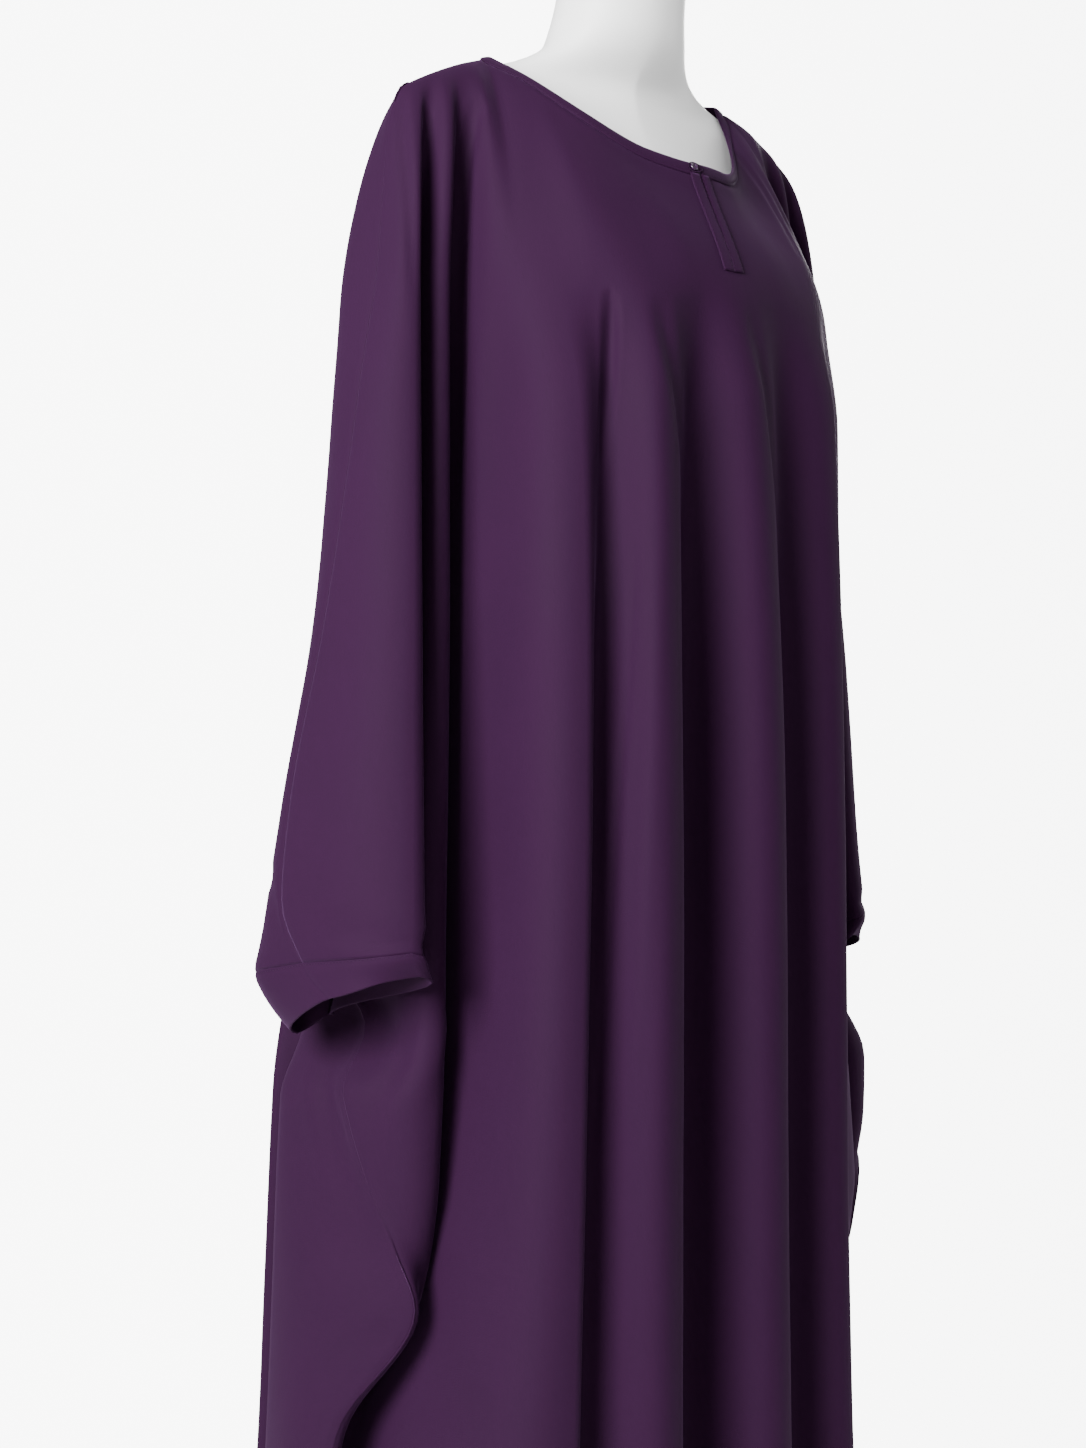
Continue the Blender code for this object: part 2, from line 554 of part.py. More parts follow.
def strip(name, front, slit_column, step):
    """A placket strip that lies on the front beside the slit. Step is -1 right, 1 left."""
    sheet = Sheet(name, STRIP_WALL)
    sheet.relief = {}
    sheet.outward = []
    first, second = (slit_column, slit_column + 1) if step > 0 else (slit_column - 1, slit_column)

    def corner(column, row):
        if (column, row) not in sheet.index:
            split = column == slit_column and row < SLIT_ROWS
            source = front.index[(column, row, (step > 0) if split else None)]
            sheet.vertex((column, row), front.points[source].copy())
            sheet.outward.append(front.outward[source])
        return sheet.index[(column, row)]

    for row in range(STRIP_ROWS):
        sheet.faces.append((
            corner(first, row), corner(first, row + 1), corner(second, row + 1), corner(second, row)))
    return sheet


def material(name, color, roughness, metallic=0.0):
    """A plain Principled material."""
    made = bpy.data.materials.new(name)
    made.use_nodes = True
    shader = made.node_tree.nodes["Principled BSDF"]
    shader.inputs["Base Color"].default_value = (*color, 1.0)
    shader.inputs["Roughness"].default_value = roughness
    shader.inputs["Metallic"].default_value = metallic
    return made


def add_object(name, mesh, finish, parts):
    """Store a bmesh as a named object in the parts collection."""
    data = bpy.data.meshes.new(name)
    mesh.to_mesh(data)
    mesh.free()
    data.materials.append(finish)
    data.shade_smooth()
    data.set_sharp_from_angle(angle=SHARP_ANGLE)
    made = bpy.data.objects.new(name, data)
    parts.objects.link(made)
    return made


def form_torso():
    """The limbless form: closed rings from the waist to the top of the neck."""
    mesh = bmesh.new()
    rings = []
    for section in FORM_SECTIONS:
        ring = []
        power = 2.0 / section.roundness
        for k in range(FORM_SIDES):
            turn = 2.0 * math.pi * k / FORM_SIDES
            across = math.copysign(abs(math.cos(turn)) ** power, math.cos(turn))
            deep = math.copysign(abs(math.sin(turn)) ** power, math.sin(turn))
            ring.append(mesh.verts.new((
                AXIS_X + section.half_width * across, section.y + section.half_depth * deep, section.z)))
        rings.append(ring)
    for low, high in zip(rings, rings[1:]):
        for k in range(FORM_SIDES):
            n = (k + 1) % FORM_SIDES
            mesh.faces.new((low[k], low[n], high[n], high[k]))
    mesh.faces.new(rings[0][::-1])
    mesh.faces.new(rings[-1])
    return mesh


def cylinder(radius, low, high, sides):
    """An upright round bar or disc on the form's axis."""
    mesh = bmesh.new()
    bmesh.ops.create_cone(
        mesh, cap_ends=True, segments=sides, radius1=radius, radius2=radius, depth=high - low)
    bmesh.ops.translate(mesh, verts=mesh.verts, vec=(AXIS_X, FORM_SECTIONS[0].y, (low + high) / 2.0))
    return mesh


def button(place, outward, finish, parts):
    """The small round button, lying on the binding beside the slit."""
    mesh = bmesh.new()
    bmesh.ops.create_cone(
        mesh, cap_ends=True, segments=BUTTON_SIDES, depth=BUTTON_DEPTH,
        radius1=BUTTON_RADIUS, radius2=BUTTON_RADIUS)
    rims = [e for e in mesh.edges if abs(e.verts[0].co.z - e.verts[1].co.z) < 1e-6]
    bmesh.ops.bevel(
        mesh, geom=rims, offset=BUTTON_DEPTH * BUTTON_ROUND, segments=2, profile=0.5, affect="EDGES")
    made = add_object("button", mesh, finish, parts)
    made.rotation_mode = "QUATERNION"
    made.rotation_quaternion = outward.to_track_quat("Z", "Y")
    made.location = place + outward * (LAY_GAP + BUTTON_DEPTH / 2.0)
    return made


def button_loop(place, outward, along, finish, parts):
    """The thread loop that comes across the slit and round the button."""
    curve = bpy.data.curves.new("button_loop_path", "CURVE")
    curve.dimensions = "3D"
    curve.bevel_depth = LOOP_WIRE
    curve.bevel_resolution = 1
    spline = curve.splines.new("POLY")
    spline.points.add(LOOP_POINTS - 1)
    across = outward.cross(along).normalized()
    for k, point in enumerate(spline.points):
        turn = 2.0 * math.pi * k / LOOP_POINTS
        reach = LOOP_REACH if math.cos(turn) > 0 else LOOP_RADIUS
        spot = place + along * reach * math.cos(turn) + across * LOOP_RADIUS * math.sin(turn)
        spot += outward * (LAY_GAP + LOOP_WIRE)
        point.co = (*spot, 1.0)
    spline.use_cyclic_u = True
    made = bpy.data.objects.new("button_loop", curve)
    curve.materials.append(finish)
    parts.objects.link(made)
    return made


def main():
    """Clear the scene and build every piece."""
    for item in list(bpy.data.objects):
        bpy.data.objects.remove(item)
    parts = bpy.data.collections.new("butterfly_abaya")
    bpy.context.scene.collection.children.link(parts)
    crepe = material("plum_crepe", (0.055, 0.016, 0.070), 0.72)
    crepe_edge = material("plum_crepe_edge", (0.048, 0.014, 0.062), 0.70)
    shell = material("button_shell", (0.060, 0.020, 0.075), 0.30)
    thread = material("plum_thread", (0.050, 0.016, 0.062), 0.60)
    white = material("form_white", (0.80, 0.80, 0.80), 0.45)
    steel = material("stand_steel", (0.62, 0.62, 0.62), 0.35, 1.0)

    front_stations = front_line()
    slit = SPAN_COLUMNS * next(k for k, s in enumerate(front_stations) if s.fold.name == "crest_2")
    front, front_grid = panel("front", front_stations, NECK_FRONT, -1, slit)
    back, back_grid = panel("back", back_line(), NECK_BACK, 1)
    band = binding(front_grid, back_grid)
    n = SLEEVE_COLUMNS
    right_ring = back_grid[-n - 1:-1] + front_grid[:n]
    left_ring = front_grid[-n - 1:-1] + back_grid[:n]
    cuffs = [cuff("cuff_right", right_ring), cuff("cuff_left", left_ring)]
    join_normals([front, back, band] + cuffs)
    for sheet in (front, back):
        add_object(sheet.name, wall_mesh(sheet), crepe, parts)
    for sheet in cuffs:
        add_object(sheet.name, wall_mesh(sheet), crepe_edge, parts)
    add_object(band.name, wall_mesh(band, BINDING_RISE), crepe_edge, parts)
    for name, step in (("placket_right", -1), ("placket_left", 1)):
        sheet = strip(name, front, slit, step)
        add_object(name, wall_mesh(sheet, LAY_GAP + STRIP_WALL), crepe_edge, parts)

    near_end = len(band.points) - (BINDING_ROWS + 1)
    spot = band.points[near_end + BINDING_ROWS // 2].lerp(
        band.points[near_end - BINDING_ROWS - 1 + BINDING_ROWS // 2], BUTTON_SHARE)
    outward = band.outward[near_end + BINDING_ROWS // 2]
    along = (band.points[near_end] - band.points[near_end - BINDING_ROWS - 1]).normalized()
    seat = spot + outward * BINDING_RISE
    button(seat, outward, shell, parts)
    button_loop(seat, outward, along, thread, parts)

    add_object("form_torso", form_torso(), white, parts)
    foot = FORM_SECTIONS[0].z
    pole = cylinder(POLE_RADIUS, BASE_HEIGHT + SEAM_GAP, foot - SEAM_GAP, POLE_SIDES)
    add_object("form_pole", pole, steel, parts)
    add_object("form_base", cylinder(BASE_RADIUS, 0.0, BASE_HEIGHT, BASE_SIDES), steel, parts)


main()
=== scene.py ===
"""Looks of a plain plum butterfly abaya that hangs on a limbless dress form.

The cloth follows the same fold lines as its solids, in finer steps, with the smaller creases,
the seams and the stitches added. Metres, +Z up, the front faces -Y, the wearer's right is -X.
"""
import logging
import math
from dataclasses import dataclass, field
from enum import Enum
from functools import lru_cache
from typing import Any, Callable, Optional, Sequence

import bmesh
import bpy
from mathutils import Matrix, Vector, noise
from mathutils.bvhtree import BVHTree


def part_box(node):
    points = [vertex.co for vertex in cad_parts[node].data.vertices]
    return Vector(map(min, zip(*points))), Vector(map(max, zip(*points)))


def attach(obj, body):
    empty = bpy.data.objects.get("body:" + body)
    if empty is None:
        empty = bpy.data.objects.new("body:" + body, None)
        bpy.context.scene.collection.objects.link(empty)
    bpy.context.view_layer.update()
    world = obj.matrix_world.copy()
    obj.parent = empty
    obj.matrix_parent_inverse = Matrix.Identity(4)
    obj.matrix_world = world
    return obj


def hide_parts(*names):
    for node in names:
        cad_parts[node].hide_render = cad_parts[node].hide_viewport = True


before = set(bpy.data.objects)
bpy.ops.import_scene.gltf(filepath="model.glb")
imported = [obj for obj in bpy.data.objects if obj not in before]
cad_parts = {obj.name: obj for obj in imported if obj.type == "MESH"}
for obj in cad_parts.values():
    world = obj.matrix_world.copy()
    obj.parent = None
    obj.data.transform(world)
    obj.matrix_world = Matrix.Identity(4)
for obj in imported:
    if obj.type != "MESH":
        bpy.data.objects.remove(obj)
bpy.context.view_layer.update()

LOG = logging.getLogger("abaya")
BODY = "root"

CLOTH = 0.0009            # wall of the crepe
AXIS_X = -0.009           # the garment hangs a little towards the wearer's right
YOKE_Z = 1.250            # the level where the front folds begin
CUFF_Z = 0.795            # the level of the seam between sleeve and cuff
HEM_Z = 0.022
SKIRT_LEVELS = (0.756, 0.71, 0.66, 0.61, 0.57, 0.525, 0.47, 0.36, 0.19, HEM_Z)
SLIT_END = 5.0 / 9.0      # share of a rail that the neck slit opens
STRIP_END = 7.0 / 9.0     # share of a rail that the placket covers
STRIP_SPAN = 0.25         # share of a span that a placket strip covers
SLIT_HALF_GAP = 0.0016
BINDING_DEPTH = 0.009
BINDING_TURN = 0.7        # from here the binding's seam turns towards the shoulder seam
SLOPE_STEP = 0.02         # step down that gives a rail its slope at the yoke line
RAIL_HANDLE = 0.36        # share of a rail's length that keeps that slope
SHOULDER_CROWN = 0.003
NEAR = 0.0001             # places closer than this are the same place
RAIL = 1.0                # a place down a column: 0 top, 1 yoke line, 2 cuff level, then the skirt
SLEEVE = 2.0


class Side(Enum):
    """Which side a fold line lies on. Middle rows are given in true x."""

    RIGHT = -1
    MIDDLE = 0
    LEFT = 1


class Panel(Enum):
    """The two panels of the cut, by the way they face."""

    FRONT = -1
    BACK = 1


@dataclass(frozen=True)
class Knot:
    """One place of a fold line, with the section's heading there in degrees."""

    z: float
    x: float
    y: float
    heading: float


@dataclass(frozen=True)
class Fold:
    """A fold line: its place on the top edge, its handle, and its knots."""

    name: str
    top: float
    handle: float
    knots: tuple[Knot, ...]


@dataclass(frozen=True)
class FarShift:
    """How far the left side stands further out and further back at a level."""

    z: float
    out: float
    back: float


@dataclass(frozen=True)
class NeckPoint:
    """A point of the neckline. Top is 0 at the centre and 1 at the shoulder seam."""

    top: float
    x: float
    y: float
    z: float


@dataclass(frozen=True)
class TopHandle:
    """How a rail leaves the top edge: outwards, forwards and down."""

    place: float
    out: float
    forward: float
    drop: float


@dataclass(frozen=True)
class CuffEdge:
    """A cuff's free edge against its seam. Along runs round from the side seam, by the front."""

    along: float
    out: float
    back: float
    drop: float


@dataclass(frozen=True)
class FormSection:
    """A level section of the dress form. Roundness 2 is an ellipse."""

    z: float
    y: float
    half_width: float
    half_depth: float
    roundness: float


@dataclass(frozen=True)
class Spot:
    """A place on a panel: which column, and at what level."""

    place: float
    z: float


@dataclass(frozen=True)
class Crease:
    """A soft trough, or with a negative depth a ridge, along a line on a panel."""

    panel: Panel
    width: float
    depth: float
    path: tuple[Spot, ...]


SIDE_FRONT = (
    Fold("chest_edge", 1.18, 0.40, (
        Knot(1.25, 0.148, -0.046, 75), Knot(1.02, 0.155, -0.042, 80), Knot(0.79, 0.158, -0.036, 82),
        Knot(0.57, 0.176, -0.028, 80), Knot(0.47, 0.190, -0.004, 75), Knot(0.02, 0.224, 0.010, 75))),
    Fold("armhole_valley", 1.42, 0.32, (
        Knot(1.25, 0.156, -0.004, 10), Knot(1.02, 0.160, 0.006, 0), Knot(0.79, 0.164, 0.012, 0),
        Knot(0.57, 0.171, 0.028, 5), Knot(0.47, 0.197, 0.070, 10), Knot(0.02, 0.228, 0.112, 10))),
    Fold("wing_crest", 1.58, 0.40, (
        Knot(1.25, 0.172, -0.031, 10), Knot(1.02, 0.178, -0.037, 5), Knot(0.79, 0.186, -0.041, 10),
        Knot(0.66, 0.186, -0.035, 10), Knot(0.61, 0.182, -0.025, -8), Knot(0.57, 0.181, -0.012, -20),
        Knot(0.47, 0.209, 0.042, -60), Knot(0.02, 0.242, 0.086, -60))),
    Fold("side_seam_front", 1.72, 0.34, (
        Knot(1.25, 0.184, 0.004, 0), Knot(1.02, 0.190, 0.022, 0), Knot(0.86, 0.197, 0.036, 0),
        Knot(0.795, 0.204, 0.048, -35), Knot(0.756, 0.193, 0.036, 50), Knot(0.71, 0.222, 0.020, 72),
        Knot(0.66, 0.216, 0.004, 60), Knot(0.61, 0.205, -0.018, 25), Knot(0.57, 0.197, -0.031, 15),
        Knot(0.48, 0.226, 0.020, 10), Knot(0.40, 0.234, 0.032, 10), Knot(0.02, 0.264, 0.060, 10))),
)
SLEEVE_FRONT = Fold("flap_edge", 1.87, 0.36, (
    Knot(1.25, 0.199, -0.034, 20), Knot(1.02, 0.212, -0.050, 25), Knot(0.86, 0.221, -0.062, 30),
    Knot(0.795, 0.226, -0.068, 35)))
OVERARM_SEAM = Fold("overarm_seam", 2.00, 0.40, (
    Knot(1.25, 0.213, -0.004, 85), Knot(1.18, 0.225, -0.002, 85), Knot(1.03, 0.241, 0.014, 85),
    Knot(0.90, 0.256, 0.034, 85), Knot(0.842, 0.260, 0.036, 85), Knot(0.795, 0.257, 0.008, 85)))
SLEEVE_BACK = Fold("flap_back_edge", 1.87, 0.36, (
    Knot(1.25, 0.206, 0.044, 150), Knot(1.02, 0.221, 0.050, 150), Knot(0.87, 0.238, 0.070, 150),
    Knot(0.795, 0.246, 0.084, 155)))
SIDE_BACK = (
    Fold("side_seam_back", 1.72, 0.34, (
        Knot(1.25, 0.184, 0.034, 180), Knot(1.02, 0.190, 0.050, 180), Knot(0.86, 0.197, 0.054, 180),
        Knot(0.795, 0.204, 0.053, 205), Knot(0.756, 0.193, 0.036, 125), Knot(0.71, 0.222, 0.020, 108),
        Knot(0.66, 0.216, 0.004, 95), Knot(0.61, 0.205, -0.018, 75), Knot(0.57, 0.197, -0.031, 55),
        Knot(0.48, 0.226, 0.020, 55), Knot(0.40, 0.234, 0.032, 55), Knot(0.02, 0.264, 0.060, 55))),
    Fold("back_wing_crest", 1.58, 0.40, (
        Knot(1.25, 0.183, 0.066, 110), Knot(1.02, 0.193, 0.080, 110), Knot(0.86, 0.199, 0.090, 110),
        Knot(0.756, 0.201, 0.095, 105), Knot(0.70, 0.224, 0.093, 100), Knot(0.43, 0.233, 0.102, 105),
        Knot(0.02, 0.262, 0.128, 105))),
    Fold("back_armhole_valley", 1.42, 0.32, (
        Knot(1.25, 0.160, 0.083, 150), Knot(1.02, 0.172, 0.098, 155), Knot(0.79, 0.186, 0.112, 160),
        Knot(0.70, 0.195, 0.116, 160), Knot(0.43, 0.198, 0.124, 160), Knot(0.02, 0.222, 0.152, 160))),
    Fold("back_edge", 1.18, 0.40, (
        Knot(1.25, 0.138, 0.104, 150), Knot(1.02, 0.168, 0.124, 140), Knot(0.79, 0.194, 0.132, 130),
        Knot(0.70, 0.206, 0.136, 125), Knot(0.43, 0.212, 0.148, 125), Knot(0.02, 0.236, 0.182, 125))),
    Fold("back_side_valley", 0.82, 0.34, (
        Knot(1.25, 0.096, 0.124, 165), Knot(1.10, 0.108, 0.130, 170), Knot(0.79, 0.128, 0.144, 175),
        Knot(0.43, 0.136, 0.158, 175), Knot(0.02, 0.152, 0.186, 175))),
    Fold("back_crest", 0.42, 0.44, (
        Knot(1.25, 0.050, 0.136, 175), Knot(1.10, 0.056, 0.148, 180), Knot(0.79, 0.070, 0.180, 180),
        Knot(0.43, 0.078, 0.204, 180), Knot(0.02, 0.088, 0.246, 180))),
)
FAR_SHIFT = (
    FarShift(1.40, 0.000, 0.000), FarShift(1.25, -0.015, 0.006), FarShift(1.02, -0.006, 0.018),
    FarShift(0.80, 0.003, 0.030), FarShift(0.70, 0.030, -0.002), FarShift(0.62, 0.031, -0.006),
    FarShift(0.57, 0.020, -0.002), FarShift(0.47, 0.002, 0.000), FarShift(0.02, 0.000, 0.000))
FRONT_FOLDS = (
    Fold("roll_crest", -0.82, 0.42, (
        Knot(1.25, -0.132, -0.092, -42), Knot(1.18, -0.132, -0.113, -30),
        Knot(0.90, -0.139, -0.128, -18), Knot(0.50, -0.150, -0.130, -15), Knot(0.02, -0.178, -0.150, -15))),
    Fold("valley_1", -0.68, 0.30, (
        Knot(1.25, -0.111, -0.107, -32), Knot(1.18, -0.109, -0.112, -10), Knot(0.90, -0.119, -0.105, 0),
        Knot(0.50, -0.132, -0.103, 0), Knot(0.02, -0.154, -0.113, 0))),
    Fold("crest_1", -0.46, 0.42, (
        Knot(1.25, -0.077, -0.128, -14), Knot(1.18, -0.079, -0.140, -4), Knot(0.90, -0.084, -0.151, 0),
        Knot(0.50, -0.085, -0.153, 0), Knot(0.02, -0.092, -0.174, 0))),
    Fold("valley_2", -0.24, 0.32, (
        Knot(1.25, -0.042, -0.131, -4), Knot(1.18, -0.040, -0.122, 0), Knot(0.90, -0.036, -0.100, 0),
        Knot(0.50, -0.036, -0.097, 0), Knot(0.02, -0.032, -0.104, 0))),
    Fold("crest_2", 0.0, 0.42, (
        Knot(1.25, -0.008, -0.138, 0), Knot(1.18, 0.001, -0.145, 0), Knot(0.90, 0.010, -0.153, 0),
        Knot(0.50, 0.012, -0.156, 0), Knot(0.02, 0.014, -0.178, 0))),
    Fold("valley_3", 0.26, 0.32, (
        Knot(1.25, 0.034, -0.132, 4), Knot(1.18, 0.041, -0.127, 0), Knot(0.90, 0.052, -0.114, 0),
        Knot(0.50, 0.057, -0.112, 0), Knot(0.02, 0.062, -0.124, 0))),
    Fold("crest_3", 0.50, 0.42, (
        Knot(1.25, 0.070, -0.127, 16), Knot(1.18, 0.080, -0.135, 10), Knot(0.90, 0.088, -0.138, 8),
        Knot(0.50, 0.092, -0.141, 6), Knot(0.02, 0.106, -0.162, 6))),
    Fold("valley_4", 0.68, 0.32, (
        Knot(1.25, 0.101, -0.108, 34), Knot(1.18, 0.109, -0.106, 25), Knot(0.90, 0.113, -0.100, 15),
        Knot(0.50, 0.116, -0.101, 10), Knot(0.02, 0.136, -0.118, 10))),
    Fold("far_roll_crest", 0.82, 0.40, (
        Knot(1.25, 0.124, -0.088, 44), Knot(1.18, 0.131, -0.093, 40), Knot(0.90, 0.132, -0.094, 40),
        Knot(0.50, 0.138, -0.094, 35), Knot(0.02, 0.168, -0.118, 30))),
)
BACK_CENTRE = Fold("back_centre_valley", 0.0, 0.34, (
    Knot(1.25, -0.006, 0.138, 180), Knot(1.10, -0.004, 0.140, 180), Knot(0.79, 0.000, 0.158, 180),
    Knot(0.43, 0.003, 0.174, 180), Knot(0.02, 0.006, 0.206, 180)))

NECK = {
    Panel.FRONT: (
        NeckPoint(-1.0, -0.118, 0.003, 1.431), NeckPoint(-0.72, -0.107, -0.033, 1.409),
        NeckPoint(-0.48, -0.084, -0.062, 1.384), NeckPoint(-0.24, -0.046, -0.082, 1.362),
        NeckPoint(0.0, -0.008, -0.092, 1.355), NeckPoint(0.20, 0.022, -0.085, 1.355),
        NeckPoint(0.45, 0.055, -0.060, 1.368), NeckPoint(0.72, 0.082, -0.025, 1.398),
        NeckPoint(1.0, 0.097, 0.006, 1.433)),
    Panel.BACK: (
        NeckPoint(-1.0, -0.118, 0.003, 1.431), NeckPoint(-0.55, -0.090, 0.042, 1.438),
        NeckPoint(0.0, -0.009, 0.060, 1.440), NeckPoint(0.55, 0.074, 0.043, 1.439),
        NeckPoint(1.0, 0.097, 0.006, 1.433)),
}
SHOULDER_TIP = {Side.RIGHT: (-0.190, 0.008, 1.400), Side.LEFT: (0.172, 0.008, 1.392)}
TOP_HANDLES = (
    TopHandle(0.0, 0.000, 0.014, 0.034), TopHandle(0.6, 0.003, 0.016, 0.030),
    TopHandle(1.0, 0.004, 0.030, 0.016), TopHandle(1.3, 0.003, 0.042, 0.010),
    TopHandle(1.7, 0.008, 0.032, 0.012), TopHandle(1.9, 0.012, 0.022, 0.014),
    TopHandle(2.0, 0.020, 0.000, 0.022))
CUFF_SEAM = {"flap_edge": 0.813, "overarm_seam": 0.803, "flap_back_edge": 0.789}
CUFF_EDGE = (
    CuffEdge(0.00, 0.006, 0.002, 0.034), CuffEdge(0.25, -0.009, 0.004, 0.016),
    CuffEdge(0.50, -0.004, -0.026, 0.022), CuffEdge(0.75, -0.014, -0.024, 0.040),
    CuffEdge(1.00, 0.006, 0.002, 0.034))
FORM_SECTIONS = (
    FormSection(0.985, 0.010, 0.060, 0.055, 2.0), FormSection(1.000, 0.010, 0.098, 0.078, 2.0),
    FormSection(1.080, 0.008, 0.112, 0.086, 2.0), FormSection(1.180, 0.004, 0.126, 0.102, 2.0),
    FormSection(1.235, 0.004, 0.128, 0.108, 2.0), FormSection(1.290, 0.006, 0.131, 0.100, 1.9),
    FormSection(1.330, 0.006, 0.136, 0.080, 1.7), FormSection(1.360, 0.006, 0.145, 0.064, 1.55),
    FormSection(1.385, 0.007, 0.152, 0.046, 1.4), FormSection(1.399, 0.008, 0.153, 0.040, 1.35),
    FormSection(1.409, 0.008, 0.1485, 0.037, 1.3), FormSection(1.417, 0.009, 0.134, 0.036, 1.25),
    FormSection(1.4242, 0.008, 0.115, 0.036, 1.25), FormSection(1.430, 0.006, 0.096, 0.038, 1.35),
    FormSection(1.437, 0.003, 0.079, 0.041, 1.5), FormSection(1.447, -0.001, 0.064, 0.045, 1.75),
    FormSection(1.462, -0.004, 0.055, 0.048, 2.0), FormSection(1.487, -0.009, 0.050, 0.048, 2.0),
    FormSection(1.520, -0.015, 0.048, 0.047, 2.0))

# The creases too small for the solids. Those on the left sleeve and in the middle of the back are
# hidden in the photo, and guessed.
CREASES = (
    Crease(Panel.FRONT, 0.0035, 0.0012, (
        Spot(-0.56, 1.10), Spot(-0.57, 1.00), Spot(-0.59, 0.90), Spot(-0.61, 0.78), Spot(-0.64, 0.65))),
    Crease(Panel.FRONT, 0.0060, -0.0010, (
        Spot(-0.50, 1.08), Spot(-0.51, 0.95), Spot(-0.53, 0.80), Spot(-0.57, 0.68))),
    Crease(Panel.FRONT, 0.0045, 0.0045, (
        Spot(-0.615, 1.252), Spot(-0.63, 1.238), Spot(-0.66, 1.195), Spot(-0.70, 1.13))),
    Crease(Panel.FRONT, 0.0070, 0.0036, (
        Spot(-0.46, 1.250), Spot(-0.43, 1.219), Spot(-0.38, 1.175), Spot(-0.30, 1.12))),
    Crease(Panel.FRONT, 0.0070, 0.0036, (
        Spot(0.03, 1.242), Spot(0.07, 1.212), Spot(0.11, 1.16), Spot(0.17, 1.09))),
    Crease(Panel.FRONT, 0.0050, 0.0040, (
        Spot(-1.24, 1.394), Spot(-1.33, 1.367), Spot(-1.36, 1.330), Spot(-1.34, 1.293), Spot(-1.30, 1.20),
        Spot(-1.29, 1.10))),
    Crease(Panel.FRONT, 0.0045, 0.0025, (
        Spot(-1.96, 1.394), Spot(-1.92, 1.341), Spot(-1.89, 1.294), Spot(-1.87, 1.235))),
    Crease(Panel.FRONT, 0.0050, 0.0030, (
        Spot(1.24, 1.386), Spot(1.34, 1.360), Spot(1.37, 1.320), Spot(1.34, 1.270), Spot(1.31, 1.18))),
    Crease(Panel.BACK, 0.0060, 0.0030, (
        Spot(-1.30, 1.385), Spot(-1.38, 1.350), Spot(-1.40, 1.300), Spot(-1.40, 1.22))),
    Crease(Panel.BACK, 0.0055, 0.0026, (
        Spot(1.28, 1.378), Spot(1.36, 1.345), Spot(1.41, 1.290), Spot(1.41, 1.20))),
    Crease(Panel.FRONT, 0.0040, 0.0012, (
        Spot(0.76, 1.39), Spot(0.75, 1.36), Spot(0.71, 1.339), Spot(0.66, 1.315), Spot(0.63, 1.300))),
    Crease(Panel.FRONT, 0.0040, 0.0010, (
        Spot(0.86, 1.38), Spot(0.84, 1.355), Spot(0.79, 1.330), Spot(0.73, 1.305))),
    Crease(Panel.FRONT, 0.0080, 0.0040, (
        Spot(-1.60, 0.775), Spot(-1.63, 0.745), Spot(-1.655, 0.715), Spot(-1.69, 0.690))),
    Crease(Panel.FRONT, 0.0060, -0.0020, (
        Spot(-1.55, 0.770), Spot(-1.58, 0.740), Spot(-1.61, 0.705))),
    Crease(Panel.FRONT, 0.0070, 0.0030, (Spot(-1.98, 0.828), Spot(-1.86, 0.818), Spot(-1.74, 0.806))),
    Crease(Panel.BACK, 0.0070, 0.0025, (Spot(-1.99, 0.830), Spot(-1.95, 0.850), Spot(-1.90, 0.862))),
    Crease(Panel.BACK, 0.0060, 0.0025, (
        Spot(-1.66, 0.735), Spot(-1.68, 0.705), Spot(-1.70, 0.680))),
    Crease(Panel.BACK, 0.0080, -0.0025, (
        Spot(-1.62, 0.745), Spot(-1.64, 0.700), Spot(-1.66, 0.650), Spot(-1.68, 0.600))),
    Crease(Panel.BACK, 0.0060, 0.0018, (
        Spot(-1.70, 0.634), Spot(-1.67, 0.613), Spot(-1.62, 0.590))),
    Crease(Panel.BACK, 0.0060, 0.0018, (
        Spot(-1.69, 0.588), Spot(-1.65, 0.558), Spot(-1.61, 0.525))),
    Crease(Panel.BACK, 0.0050, 0.0016, (
        Spot(-1.71, 0.560), Spot(-1.69, 0.548), Spot(-1.67, 0.534))),
    Crease(Panel.FRONT, 0.0080, 0.0035, (
        Spot(1.61, 0.772), Spot(1.64, 0.740), Spot(1.67, 0.705))),
    Crease(Panel.FRONT, 0.0070, 0.0025, (Spot(1.98, 0.832), Spot(1.87, 0.822), Spot(1.76, 0.812))),
    Crease(Panel.BACK, 0.0070, 0.0020, (
        Spot(1.69, 0.640), Spot(1.66, 0.612), Spot(1.61, 0.592))),
    Crease(Panel.BACK, 0.0060, 0.0016, (
        Spot(1.70, 0.585), Spot(1.66, 0.560), Spot(1.62, 0.540))),
    Crease(Panel.BACK, 0.0050, 0.0012, (
        Spot(0.30, 1.02), Spot(0.31, 0.90), Spot(0.33, 0.77), Spot(0.36, 0.62))),
    Crease(Panel.BACK, 0.0070, 0.0020, (
        Spot(-0.92, 1.34), Spot(-0.80, 1.31), Spot(-0.66, 1.29))),
    Crease(Panel.BACK, 0.0070, 0.0016, (
        Spot(0.94, 1.35), Spot(0.83, 1.325), Spot(0.72, 1.308))),
    Crease(Panel.BACK, 0.0080, -0.0018, (
        Spot(-0.14, 1.05), Spot(-0.12, 0.90), Spot(-0.14, 0.72))),
)


